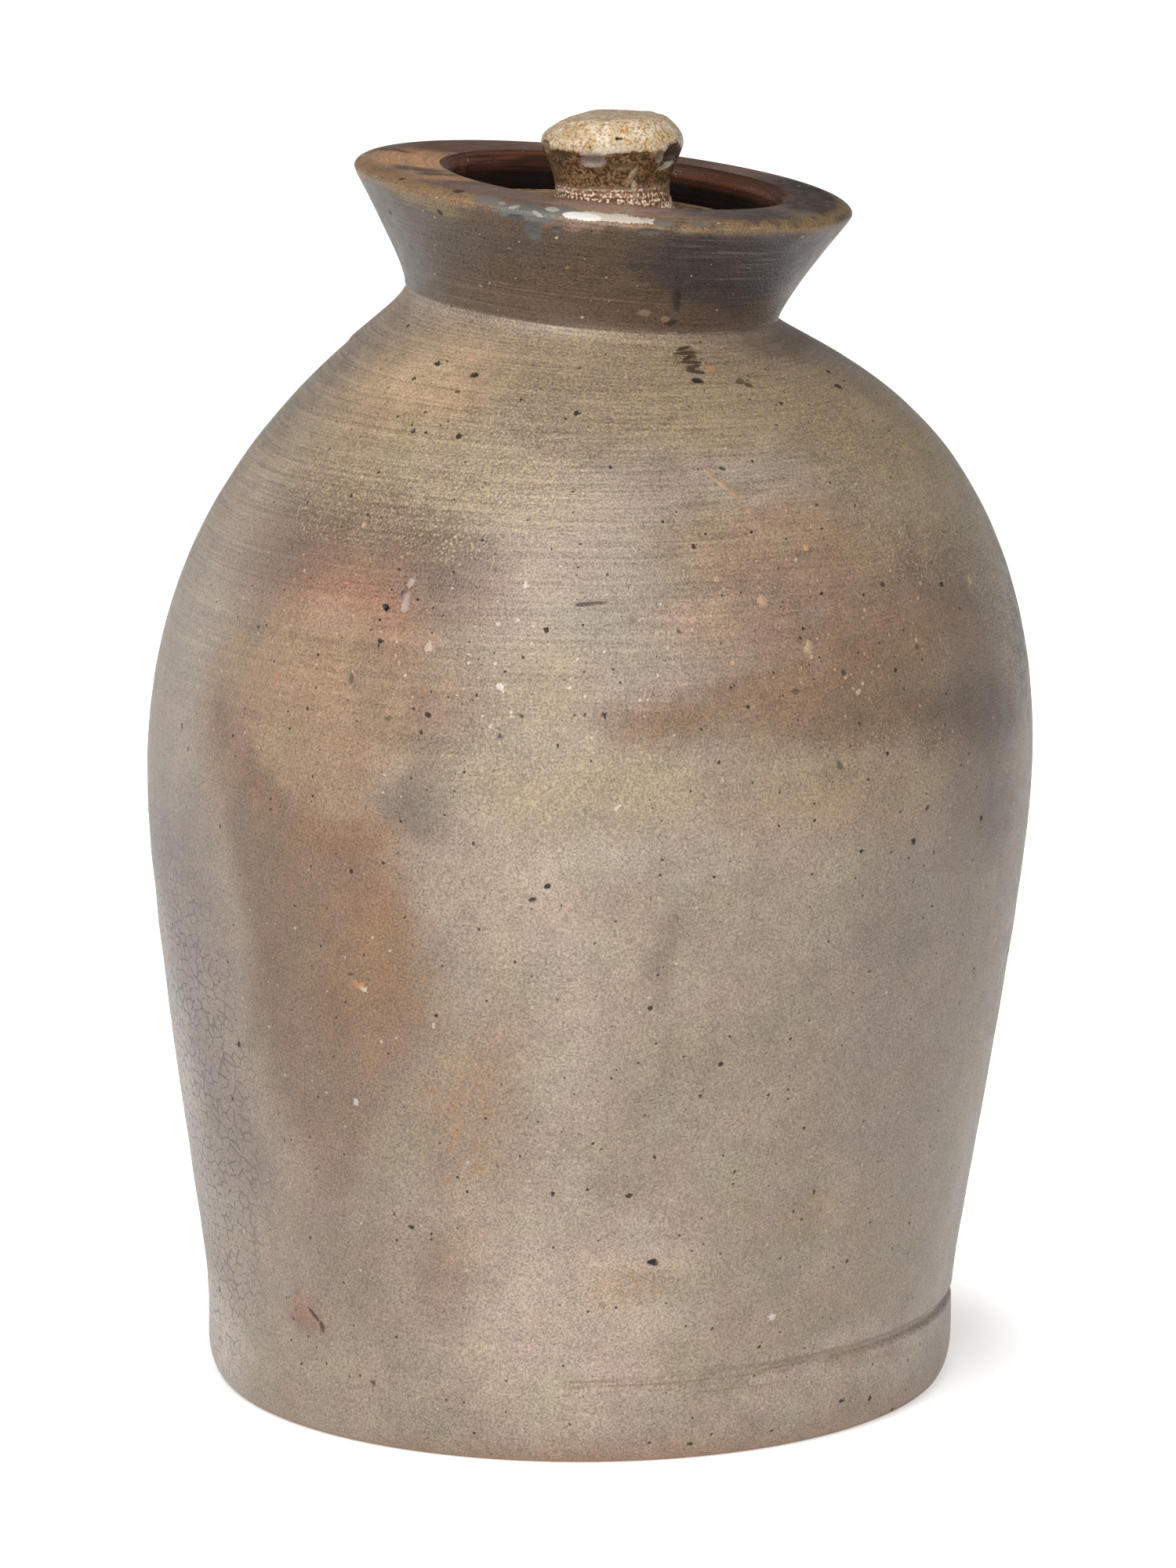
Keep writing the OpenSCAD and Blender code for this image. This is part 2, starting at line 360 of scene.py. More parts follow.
def calc(tree, operation, *values):
    """The output of a Math node on two or three values."""
    return add(tree, "Math", dict(enumerate(values)), operation=operation).outputs[0]


def times(tree, first, *others):
    """The product of all the values."""
    for other in others:
        first = calc(tree, "MULTIPLY", first, other)
    return first


def unsettled(tree, value, pattern, strength):
    """Value moved up and down by a pattern that is 0.5 on average."""
    return calc(tree, "MULTIPLY_ADD", calc(tree, "SUBTRACT", pattern, 0.5), strength, value)


def painted(tree, below, above, share, blend="MIX"):
    """The colour above laid over the colour below by that share."""
    sockets = {MIX_FACTOR: share, MIX_A: below, MIX_B: above}
    return add(tree, "Mix", sockets, data_type="RGBA", blend_type=blend).outputs[MIX_RESULT]


def between(tree, value, low, high, to_low=0.0, to_high=1.0, smooth=True):
    """Value turned from the range low to high into the range to_low to to_high, and held there."""
    inputs = {"Value": value, "From Min": low, "From Max": high, "To Min": to_low, "To Max": to_high}
    kind = "SMOOTHSTEP" if smooth else "LINEAR"
    return add(tree, "MapRange", inputs, interpolation_type=kind).outputs["Result"]


def grainy(tree, where, size, detail=1.0, rough=0.5):
    """A noise whose features are about size metres across."""
    inputs = {"Vector": where, "Scale": 1 / size, "Detail": detail, "Roughness": rough}
    return add(tree, "TexNoise", inputs).outputs["Fac"]


def scattered(tree, where, cell, radius, uneven):
    """Dots of up to that radius, about one a cell, with uneven outlines, and a random number for each."""
    cells = add(tree, "TexVoronoi", {"Vector": where, "Scale": 1 / cell})
    chance = add(tree, "SeparateColor", {0: cells.outputs["Color"]}).outputs
    size = calc(tree, "MULTIPLY_ADD", calc(tree, "POWER", chance[0], 2), 0.65, 0.35)
    away = calc(tree, "DIVIDE", cells.outputs["Distance"], size)
    away = calc(tree, "MULTIPLY_ADD", uneven, radius / cell, away)
    return between(tree, away, 1.2 * radius / cell, 1.5 * radius / cell, 1, 0), chance[1]


def shaded(tree, paint, shade):
    """The colour with each of its channels multiplied by shade."""
    grey = add(tree, "CombineColor", {0: shade, 1: shade, 2: shade}).outputs[0]
    return painted(tree, paint, grey, 1.0, "MULTIPLY")


def empty_material(name):
    """A material without nodes."""
    made = bpy.data.materials.new(name)
    made.use_nodes = True
    made.node_tree.nodes.clear()
    return made, made.node_tree


def attribute(tree, name, output="Fac"):
    """What a layer of the mesh holds at each point."""
    return add(tree, "Attribute", attribute_name=name).outputs[output]


def lathe_places(tree):
    """The place of a point as thrown, its three axes, its distance from the Z axis, and its place on a
    lathe: that distance, a slow way round, and its height."""
    where = attribute(tree, "thrown", "Vector")
    axes = add(tree, "SeparateXYZ", {0: where}).outputs
    level = add(tree, "CombineXYZ", {0: axes["X"], 1: axes["Y"]}).outputs[0]
    radius = add(tree, "VectorMath", {0: level}, operation="LENGTH").outputs["Value"]
    slow = times(tree, calc(tree, "ADD", axes["X"], axes["Y"]), SLOW_TURN)
    return where, axes, radius, add(tree, "CombineXYZ", {0: radius, 1: slow, 2: axes["Z"]}).outputs[0]


def with_marks(tree, paint, *ragged):
    """The larger marks laid over paint. Their edges are crisp, and made uneven by pairs of a pattern and
    its strength."""
    edge = attribute(tree, "edge")
    for pattern, strength in ragged:
        edge = unsettled(tree, edge, pattern, strength)
    share = times(tree, attribute(tree, "marks", "Alpha"), between(tree, edge, 0.44, 0.56))
    return painted(tree, paint, attribute(tree, "marks", "Color"), share)


def surfaced(tree, paint, rough, relief, depth):
    """Ends a material: glazed clay of that colour and roughness, with its relief as bump of that depth."""
    bump = add(tree, "Bump", {"Height": relief, "Distance": depth, "Strength": 0.9}).outputs[0]
    skin = add(tree, "BsdfPrincipled", {"Base Color": paint, "Roughness": rough, "Normal": bump})
    add(tree, "OutputMaterial", {"Surface": skin.outputs[0]})


def ray_kinds(tree):
    """Whether a ray comes from the camera, and whether it comes from a mirroring or clear surface."""
    path = add(tree, "LightPath").outputs
    return path["Is Camera Ray"], calc(tree, "MAXIMUM", path["Is Glossy Ray"], path["Is Transmission Ray"])


# Flashes and stains on the jar's glaze. Each is an ellipse on the surface: its direction and its turn in
# degrees, its height, half width and half height in millimetres, its colour, how strongly it covers, how
# soft its edge is from 0 to 1, and its texture. One that isn't on the outside wall has a radius too.
Patch = namedtuple(
    "Patch", "way height wide tall turn colour cover soft texture radius", defaults=(0.8, "plain", None)
)

PATCHES = (
    # Grey-buff clay of the lower body, paler in front and towards the foot
    (-5, 140, 34, 46, 0, "#ac9b89", 0.7),
    (-2, 40, 50, 40, 0, "#bdac9d", 0.9),
    (48, 112, 60, 62, 0, "#998b7f", 0.85),
    (22, 140, 34, 30, 0, "#a29384", 0.6),
    (76, 44, 34, 60, 0, "#b4a79d", 0.75),
    (-70, 100, 46, 100, 0, "#968880", 0.95, 0.6),
    (-64, 36, 44, 40, 0, "#a69789", 0.75),
    (-36, 52, 24, 34, 0, "#938275", 0.7),
    (-52, 64, 14, 18, 0, "#8f8378", 0.6, 1.0),
    (-20, 68, 10, 14, 0, "#917d6c", 0.5, 1.0),
    (-19, 46, 18, 24, 0, "#957f6e", 0.7),
    (-12, 70, 22, 26, 0, "#ad9b89", 0.6),
    (150, 120, 90, 80, 0, "#9b8c7e", 0.7),
    (-140, 70, 70, 60, 0, "#9f8f84", 0.7),
    # Shoulder: drab above, tan on the left, brown on the right
    (-5, 254, 70, 24, 0, "#968475", 0.9),
    (-46, 248, 38, 26, 0, "#aa947a", 0.95),
    (-33, 250, 10, 15, -32, "#b39a7d", 0.7),
    (-72, 226, 32, 26, 0, "#9a8979", 0.7),
    (-48, 228, 30, 14, 0, "#9d8872", 0.6),
    (-44, 255, 30, 11, 0, "#bca487", 0.8, 0.9),
    (-62, 239, 20, 10, 0, "#b5a48f", 0.6, 1.0),
    (-12, 224, 38, 22, 0, "#a59281", 0.85),
    (55, 245, 42, 26, 0, "#948069", 0.85),
    (36, 207, 60, 34, 0, "#927b69", 0.95),
    (17, 222, 24, 14, 0, "#a0876f", 0.7),
    (25.6, 261, 5.5, 6, 0, "#5f4a3b", 0.85, 0.8),
    (62, 200, 28, 34, 0, "#7d6c5e", 0.8),
    (-120, 225, 70, 34, 0, "#958371", 0.8),
    (130, 215, 80, 40, 0, "#8f7a66", 0.8),
    # Hot blush on the left shoulder, in a drab purple halo
    (-42, 214, 52, 24, 0, "#877162", 0.9),
    (-18, 209, 20, 16, 0, "#8b7564", 0.75),
    (-38, 200, 34, 20, 0, "#a98068", 0.9),
    (-35, 206, 24, 13, 0, "#b4846a", 0.6, 1.0),
    (-28, 217, 11, 7, 0, "#957260", 0.6),
    # Tan lobe under the blush, with a dark border at its lower left
    (-46, 176, 40, 34, -6, "#957d68", 0.95, 0.45),
    (-38, 188, 42, 26, -6, "#a38b73", 1.0, 0.45),
    (-57, 176, 4, 13, 32, "#7b6250", 0.6, 0.7),
    (-48, 167, 8, 3.5, -38, "#7b6250", 0.6, 0.7),
    (-40, 180, 30, 18, -10, "#a98f76", 0.8, 0.7),
    (-20, 190, 22, 22, 0, "#9c8570", 0.7),
    (-6, 190, 22, 16, 0, "#ab9a82", 0.75),
    (-22, 182, 10, 14, 0, "#947c67", 0.6),
    (-33, 156, 22, 9, 10, "#a07b5b", 0.85),
    (-22, 163, 13, 11, 0, "#84756a", 0.85),
    (-19, 176, 8, 9, 0, "#8a7a6c", 0.6),
    (-50, 200, 5, 10, 20, "#7d746c", 0.5),
    (-33, 191, 7, 6, 0, "#8b8075", 0.5),
    # Brown flash down the left side, orange along its right edge
    (-41, 124, 24, 66, 8, "#866f5b", 0.95, 0.6),
    (-37, 88, 22, 34, 10, "#8c7666", 0.9),
    (-29, 122, 22, 60, 6, "#8c7159", 0.9, 1.0),
    (-29, 130, 14, 40, 5, "#977454", 0.6, 1.0),
    (-25, 112, 20, 38, 4, "#8e765f", 0.6, 1.0, "mottled"),
    (-15, 92, 18, 30, 0, "#a28a72", 0.8, 1.0),
    (-33, 146, 10, 18, 0, "#8a705b", 0.6),
    (-35, 112, 8, 20, 0, "#83694f", 0.5),
    # Flame band across the right side
    (40, 195, 58, 16, 2, "#8f7660", 0.8),
    (38, 180, 70, 14, -4, "#866f5b", 0.95),
    (22, 187, 26, 11, -8, "#917762", 0.85),
    (61, 176, 38, 17, 0, "#6a594c", 0.9),
    (8, 184, 22, 9, 0, "#8b7059", 0.85),
    (52, 169, 20, 9, 0, "#7f6c5c", 0.7, 1.0),
    # Olive-buff under the band
    (34, 161, 62, 14, 0, "#a28d77", 0.85),
    (4, 168, 30, 13, 0, "#a6967c", 0.75),
    (62, 152, 32, 24, 0, "#7c6d63", 0.85),
    (-9, 168, 14, 9, 0, "#a08e76", 0.7),
    # Paler and darker places all round, which lie over the others
    (34, 220, 30, 11, 0, "#9f8870", 0.75),
    (14, 206, 18, 12, 0, "#a58d78", 0.6),
    (22, 198, 16, 8, 0, "#998677", 0.5),
    (30.5, 206, 5, 4.5, 0, "#94877d", 0.6),
    (-22, 217, 24, 9, 0, "#7b695c", 0.8),
    (-58, 184, 12, 10, 0, "#a38c76", 0.5),
    (-36, 172, 14, 8, 0, "#b0947b", 0.5),
    (84, 192, 34, 25, 0, "#54483f", 0.85, 0.9),
    (-81, 80, 32, 60, 0, "#c9beb7", 0.85),
    (-72, 229, 26, 24, 0, "#b09f8b", 0.8),
    (-76, 14, 30, 16, 0, "#d6cbc2", 0.85),
    (-2, 112, 15, 52, 0, "#b6a798", 0.6),
    (14, 154, 20, 10, 0, "#b0a293", 0.6),
    (-1, 150, 14, 12, 0, "#b6a999", 0.5, 1.0),
    (70, 26, 22, 16, 0, "#c4b8ad", 0.7, 1.0),
    (52, 18, 50, 16, 0, "#baaca1", 0.85),
    (68, 238, 22, 18, 0, "#a5917a", 0.55),
    (60, 260, 40, 8, 0, "#6b5745", 0.6, 1.0),
    (-40, 169, 25, 9, -16, "#ab9278", 0.85, 0.5),
    (-26, 164, 8, 6, 0, "#75665b", 0.4, 1.0),
    (-24, 184, 8, 7, 0, "#bda48c", 0.5, 1.0),
    (-49.5, 151, 9, 13, 0, "#75665b", 0.7, 0.9),
    (-10, 47, 7, 14, 0, "#918274", 0.5, 1.0),
    (-1, 70, 9, 10, 0, "#c0b3a6", 0.5, 1.0),
    (4, 157, 14, 6, 0, "#bbb0a4", 0.5, 1.0),
    (21.5, 180, 7, 5, 0, "#a9967e", 0.4, 1.0),
    (10, 208, 9, 7, 0, "#bda18a", 0.5, 1.0),
    (31, 168, 9, 6, 0, "#7f6b5a", 0.6, 1.0),
    (50, 170, 9, 6, 0, "#6d5c4f", 0.6, 1.0),
    (66, 209, 9, 12, 0, "#a08c7a", 0.85, 1.0),
    (63.5, 246, 10, 8, 0, "#b09b84", 0.7, 1.0),
    (77, 187, 10, 12, 0, "#594a40", 0.8, 1.0),
    (52, 214, 8, 12, 0, "#7d6b5f", 0.5, 1.0),
    # Paler down the left edge of the lower body: a painted sheen
    (-78, 108, 12, 24, 0, "#bab0a9", 0.6, 1.0),
    # Faint smudges and rust lower down
    (9.5, 128, 5, 19, 4, "#8d7d6e", 0.8),
    (11.5, 104, 4, 15, -3, "#8f7f6e", 0.6),
    (17, 100, 6, 14, -10, "#98897a", 0.5),
    (0, 132, 4, 24, 0, "#8f8474", 0.4, 0.8, "mottled"),
    (-17, 84, 18, 22, 0, "#9d8263", 0.4, 0.8, "mottled"),
    (9, 43, 20, 8, 0, "#a08965", 0.6, 0.8, "freckled"),
    (36, 60, 12, 9, 0, "#a08965", 0.6, 0.8, "freckled"),
    (-44, 28, 10, 8, 0, "#a07c66", 0.7, 0.8),
    (20, 20, 60, 4, 0, "#8f7762", 0.45, 0.8, "streaked"),
    (48, 17, 24, 3, 0, "#937a62", 0.45),
    (10, 2, 90, 5, 0, "#a98a77", 0.5),
    (60, 2, 40, 5, 0, "#a98a77", 0.5),
    # Olive-yellow freckles of thicker salt glaze
    (-42, 236, 46, 26, 0, "#b5a484", 0.6, 0.8, "freckled"),
    (-18, 234, 30, 26, 0, "#b5a484", 0.6, 0.8, "freckled"),
    (0, 256, 50, 16, 0, "#ab9a78", 0.55, 0.6, "freckled"),
    (32, 253, 38, 15, 0, "#aa9873", 0.6, 0.6, "freckled"),
    (62, 236, 40, 40, 0, "#ac9b7c", 0.7, 0.6, "freckled"),
    (76, 205, 26, 40, 0, "#b4a68f", 0.6, 1.0, "freckled"),
    (36, 168, 50, 14, 0, "#a39176", 0.45, 0.8, "freckled"),
    (-6, 174, 30, 16, 0, "#aea287", 0.5, 0.7, "freckled"),
    (-150, 240, 70, 22, 0, "#ab9a7a", 0.6, 0.7, "freckled"),
    (140, 240, 60, 24, 0, "#ab9a7a", 0.6, 0.7, "freckled"),
    # Orange pebbles that burst through the glaze
    (32, 207, 50, 26, 0, "#cfa685", 0.6, 0.5, "pebbled"),
    (-38, 203, 36, 26, 0, "#d0aa8d", 0.5, 0.5, "pebbled"),
    (-8, 195, 38, 26, 0, "#d8cab9", 0.5, 0.5, "pebbled"),
    # Collar: olive-brown in the middle, grey on the left, sooty purple-grey on the right, and paler grey at
    # its right edge as a painted sheen
    (-66, 284, 26, 24, 0, "#696059", 0.95),
    (-40, 284, 16, 14, 0, "#605348", 0.7),
    (-16, 289, 24, 8, 0, "#5a4c42", 0.6),
    (20, 289, 14, 6, 0, "#62544d", 0.7),
    (37, 285, 30, 17, 0, "#463c3b", 1.0, 0.5),
    (12, 283, 7, 4, 0, "#4c4240", 0.7),
    # Paler grey towards the collar's right edge: a painted sheen
    (66, 288, 18, 16, 0, "#6b5f5b", 0.9),
    (80, 284, 16, 20, 0, "#756965", 0.9),
    (12, 274, 18, 4, 0, "#725f4a", 0.4, 0.8, "streaked"),
    (-30, 271, 30, 5, 0, "#746453", 0.35, 0.8, "streaked"),
    (40, 286, 30, 14, 0, "#2f2929", 0.5, 0.6, "freckled"),
    (44, 287, 28, 12, 0, "#665b56", 0.25, 0.6, "streaked"),
    (-20, 282, 50, 14, 0, "#3f332a", 0.35, 0.6, "freckled"),
    # Stains on the rim: sooty at the left, the back and the right, orange-brown towards the lip, and paler in
    # front as a painted highlight
    *(
        (way, 298, wide, tall, 0, tint, cover, soft, "plain", radius)
        for way, wide, tall, tint, cover, soft, radius in (
            (-100, 16, 9, "#bf8b60", 1.0, 0.6, 49),
            (-86, 20, 9, "#dcab7c", 0.85, 0.9, 54),
            (-62, 16, 9, "#ba8e69", 0.95, 0.6, 48),
            (-76, 7, 3, "#4d3a30", 0.8, 0.6, 53),
            (-66, 6, 2.6, "#483830", 0.8, 0.6, 49.5),
            (-50, 8, 3, "#4c3a30", 0.7, 0.6, 50),
            (-106, 7, 3, "#3a2b23", 0.9, 0.5, 56),
            (-135, 26, 7, "#6e4a33", 0.9, 0.7, 48),
            (165, 30, 8, "#6b4631", 0.9, 0.7, 47),
            (105, 32, 9, "#3a2415", 1.0, 0.5, 53),
            (78, 16, 9, "#442713", 0.95, 0.5, 51),
            (50, 14, 6, "#54443a", 0.8, 0.7, 53),
            (27, 20, 5, "#957668", 0.8, 0.7, 54),
            # Paler at the front of the rim's top: a painted highlight
            (5, 22, 5, "#bd9b8b", 0.85, 0.7, 56),
        )
    ),
    (40, 296, 16, 4, 0, "#5e524b", 0.8, 0.6, "plain", 60),
    (56, 296, 9, 4, 0, "#8c7d58", 0.8, 0.6, "plain", 59),
    (-48, 296, 26, 4, 0, "#8d7a55", 0.7, 0.6, "plain", 60),
)
TEXTURES = ("plain", "freckled", "mottled", "streaked", "pebbled")


def radius_at(outline, height):
    """Radius of an outline that rises all the way, at that height."""
    above = next((i for i, p in enumerate(outline) if p.y >= height), len(outline) - 1)
    a, b = outline[max(above - 1, 0)], outline[above]
    share = (height - a.y) / (b.y - a.y) if b.y > a.y else 0
    return a.x + (b.x - a.x) * share


def outline_radius(sizes, height):
    """Radius of the jar's outside at that height."""
    return radius_at([p for p in jar_outside(sizes) if p.x > sizes.neck_radius - MM], height)


def salt_glaze(sizes, colours):
    """Salt-glazed stoneware: grey-buff clay that fired brown and orange where the flame passed, under a
    thin glassy skin with an orange-peel texture, iron pits, burst pebbles and the turning lines of the
    wheel. The collar is darker, and the rim's edge is worn pale."""
    made, tree = empty_material("salt_glazed_stoneware")
    where, axes, radius, lathe = lathe_places(tree)
    height = axes["Z"]
    inside = attribute(tree, "inside")
    rim_height = sizes.neck_height + sizes.collar_height

    grit = grainy(tree, where, 0.5 * MM, 1, 0.7)
    freckle = grainy(tree, where, 0.6 * MM, 0)
    fine = grainy(tree, where, 4 * MM, 3)
    turning = grainy(tree, lathe, 0.75 * MM, 1.5, 0.6)

    # The flashes and stains, each in its own texture: a strong stain is a dense one
    paint = attribute(tree, "plain", "Color")
    for texture, pattern in {"freckled": freckle, "mottled": fine, "streaked": turning}.items():
        laid = add(tree, "Attribute", attribute_name=texture).outputs
        dense = calc(tree, "MULTIPLY_ADD", laid["Alpha"], 0.3, pattern)
        share = times(tree, between(tree, dense, 0.58, 0.82), between(tree, laid["Alpha"], 0, 0.2, 0, 0.75))
        paint = painted(tree, paint, laid["Color"], share)

    # Pebbles that burst through the glaze
    large, large_chance = scattered(tree, where, 5.5 * MM, 0.95 * MM, freckle)
    small, small_chance = scattered(tree, where, 2.1 * MM, 0.5 * MM, freckle)
    pebbled = add(tree, "Attribute", attribute_name="pebbled").outputs
    large_pebbles = times(tree, large, calc(tree, "LESS_THAN", large_chance, pebbled["Alpha"]))
    small_pebbles = times(tree, small, calc(tree, "LESS_THAN", small_chance, pebbled["Alpha"]))
    pebbles = calc(tree, "MAXIMUM", large_pebbles, small_pebbles)
    paint = painted(tree, paint, pebbled["Color"], times(tree, pebbles, 0.9))

    # The rim's outer edge, worn down to the pale clay
    worn = times(
        tree,
        between(tree, radius, sizes.rim_radius - 5.5 * MM, sizes.rim_radius - 2 * MM),
        between(tree, height, rim_height - 1.5 * MM, rim_height + 0.5 * MM),
        between(tree, fine, 0.36, 0.56, 0.25, 0.9),
    )
    paint = painted(tree, paint, colours.worn, worn)

    # Fine salt speckle and the darker lines where the rib passed
    ribbed = between(tree, height, 0.150, 0.235, 0.15, 1.0)
    ribbed = times(tree, ribbed, between(tree, axes["X"], 0.02, 0.075, 1, 0.35))
    shade = between(tree, grit, 0.3, 0.7, 0.64, 1.36, smooth=False)
    for pattern, strength in ((freckle, 0.3), (fine, 0.35), (turning, ribbed)):
        shade = unsettled(tree, shade, pattern, strength)
    paint = shaded(tree, paint, shade)
    paint = painted(tree, paint, colours.tint, 1.0, "MULTIPLY")

    # Crackled, wrinkled glaze inside an egg-shaped place down the left side
    side = add(tree, "CombineXYZ", {0: axes["Y"], 1: height}).outputs[0]
    cells = {"Vector": side, "Scale": 1 / (3.2 * MM)}
    wrinkles = add(tree, "TexVoronoi", cells, feature="DISTANCE_TO_EDGE", voronoi_dimensions="2D")
    wrinkles = unsettled(tree, wrinkles.outputs["Distance"], fine, 0.45)
    egg = {"Vector": where, "Location": place(-80, 0.1, 0.075), "Scale": (0.055, 0.07, 0.105)}
    egg = add(tree, "Mapping", egg, vector_type="TEXTURE").outputs[0]
    egg = add(tree, "TexGradient", {"Vector": egg}, gradient_type="SPHERICAL").outputs["Fac"]
    crackle = times(tree, between(tree, wrinkles, 0.0, 0.08, 1, 0), between(tree, egg, 0.05, 0.5))
    paint = painted(tree, paint, colours.crackle, times(tree, crackle, 0.7))

    # Pale grains, dark specks and iron pits
    grains = times(tree, small, calc(tree, "GREATER_THAN", small_chance, 0.82))
    paint = painted(tree, paint, colours.grain, times(tree, grains, 0.7))
    specks = times(tree, small, calc(tree, "COMPARE", small_chance, 0.68, 0.13))
    pits = times(tree, large, calc(tree, "GREATER_THAN", large_chance, 0.84))
    paint = painted(tree, paint, colours.pit, times(tree, calc(tree, "MAXIMUM", specks, pits), 0.9))
    paint = with_marks(tree, paint, (grit, 0.5), (fine, 0.7))

    # The foot stands on bare clay, cut from the wheel with a twisted wire
    outside = calc(tree, "SUBTRACT", 1, inside)
    under = times(tree, between(tree, height, 0.4 * MM, 1.5 * MM, 1, 0), outside)
    off_centre = add(tree, "Mapping", {"Vector": where, "Location": (0.11, -0.03, 0)}).outputs[0]
    rings = {"Vector": off_centre, "Scale": 1 / (20 * MM), "Distortion": 1.5}
    wire = add(tree, "TexWave", rings, wave_type="RINGS", rings_direction="Z").outputs["Fac"]
    cut = times(tree, under, between(tree, fine, 0.3, 0.6, 0.5, 0.9))
    paint = painted(tree, paint, colours.bare_clay, cut)

    # Red-brown slip inside, purple-black where it lies thick, both darkened as painted shade inside the
    # mouth, and orange-brown on the lip, where the slip is rubbed and a band of painted light lies at the top
    # of the inner wall
    slip = between(tree, unsettled(tree, inside, fine, 0.8), 0.45, 0.6)
    shaded_slip_paint = painted(tree, colours.slip, colours.shaded_thick_slip, between(tree, turning, 0.40, 0.60))
    # A lighter band at the top of the inner wall: rubbed slip, and painted light where the light reaches into
    # the mouth
    rubbed_and_lit = between(tree, height, rim_height - 3.5 * MM, rim_height + MM)
    rubbed_and_lit = times(tree, rubbed_and_lit, between(tree, turning, 0.35, 0.65, 1, 0.3))
    shaded_slip_paint = painted(tree, shaded_slip_paint, colours.lit_rubbed_lip, rubbed_and_lit)
    shaded_slip_paint = painted(tree, shaded_slip_paint, colours.grain, times(tree, grains, 0.4))
    paint = painted(tree, paint, shaded_slip_paint, slip)

    rough = between(tree, fine, 0.3, 0.7, 0.30, 0.44)
    rough = calc(tree, "MULTIPLY_ADD", calc(tree, "MAXIMUM", pits, under), 0.3, rough)
    relief = times(tree, grit, 0.8)
    for part, strength in (
        (times(tree, turning, ribbed), 0.5),
        (pits, -1.5),
        (crackle, -0.8),
        (times(tree, wire, under), 1.2),
    ):
        relief = calc(tree, "MULTIPLY_ADD", part, strength, relief)
    surfaced(tree, paint, rough, relief, 0.25 * MM)
    return made


def lid_clay(sizes, colours):
    """Lid stoneware: olive-brown glaze on the stem, worn to freckled buff on the crown, and rough bare
    clay with turning rings round the knob's foot."""
    made, tree = empty_material("lid_stoneware")
    where, axes, radius, lathe = lathe_places(tree)
    cloud = grainy(tree, where, 3.5 * MM, 3)
    fleck = grainy(tree, where, 1.2 * MM, 2, 0.6)
    grit = grainy(tree, where, 0.65 * MM, 0)
    rings = grainy(tree, lathe, 0.9 * MM, 1)
    height = unsettled(tree, axes["Z"], cloud, 4 * MM)

    # The stem's glaze, and the rough foot under it
    top = sizes.thickness
    rough_foot = between(tree, height, top + 6.0 * MM, top + 9.0 * MM, 1, 0)
    gritty_rings = calc(tree, "ADD", rings, grit)
    paint = colours.knob_glaze
    for above, share in (
        (colours.knob_thin, between(tree, cloud, 0.42, 0.62)),
        (colours.knob_dark, between(tree, grit, 0.54, 0.62, 0, 0.85)),
        (colours.knob, between(tree, grit, 0.34, 0.42, 0.35, 0)),
        (colours.bare_clay, rough_foot),
        (colours.knob_pale, times(tree, rough_foot, between(tree, gritty_rings, 1.0, 1.12))),
        (colours.knob_rust, times(tree, rough_foot, between(tree, gritty_rings, 0.86, 0.96, 0.9, 0))),
    ):
        paint = painted(tree, paint, above, share)

    # The crown, worn pale and freckled
    worn = painted(tree, colours.knob, colours.knob_pale, between(tree, cloud, 0.42, 0.66, 0, 0.7))
    worn = painted(tree, worn, colours.knob_orange, between(tree, fleck, 0.55, 0.61, 0, 0.8))
    worn = painted(tree, worn, colours.knob_thin, between(tree, grit, 0.32, 0.40, 0.4, 0))
    brow = top + sizes.brow_height
    paint = painted(tree, paint, worn, between(tree, height, brow - 0.4 * MM, brow + 0.5 * MM))

    # The disc, then the pits and chips all over
    # The disc's dark clouds take the slip colour, which is darkened as painted shade
    disc_paint = painted(tree, colours.disc, colours.slip, between(tree, cloud, 0.5, 0.64, 0, 0.7))
    disc = between(tree, radius, sizes.knob_foot - 0.5 * MM, sizes.knob_foot + 0.5 * MM)
    paint = painted(tree, paint, disc_paint, disc)
    dark, chance = scattered(tree, where, 2.4 * MM, 0.35 * MM, grit)
    dark = times(tree, dark, calc(tree, "LESS_THAN", chance, 0.6))
    paint = painted(tree, paint, colours.pit, times(tree, dark, 0.9))
    paint = with_marks(tree, paint, (fleck, 0.5))
    paint = shaded(tree, paint, between(tree, grit, 0.3, 0.7, 0.82, 1.18, smooth=False))

    rough = between(tree, rough_foot, 0, 1, 0.30, 0.75)
    relief = calc(tree, "MULTIPLY_ADD", times(tree, rings, rough_foot), 3.0, fleck)
    relief = calc(tree, "MULTIPLY_ADD", dark, -1.5, relief)
    surfaced(tree, paint, rough, relief, 0.3 * MM)
    return made


# The pieces

# Larger pits, chips and pebbles. Each is an ellipse measured as a patch is, then how deep it goes in
# millimetres (below zero it stands proud), its colour and how strongly that covers. One with no cover is
# shape alone, and a later one is painted over an earlier one.
Mark = namedtuple("Mark", "way height wide tall turn depth colour cover radius", defaults=(None,))

DARK = "#2c211b"

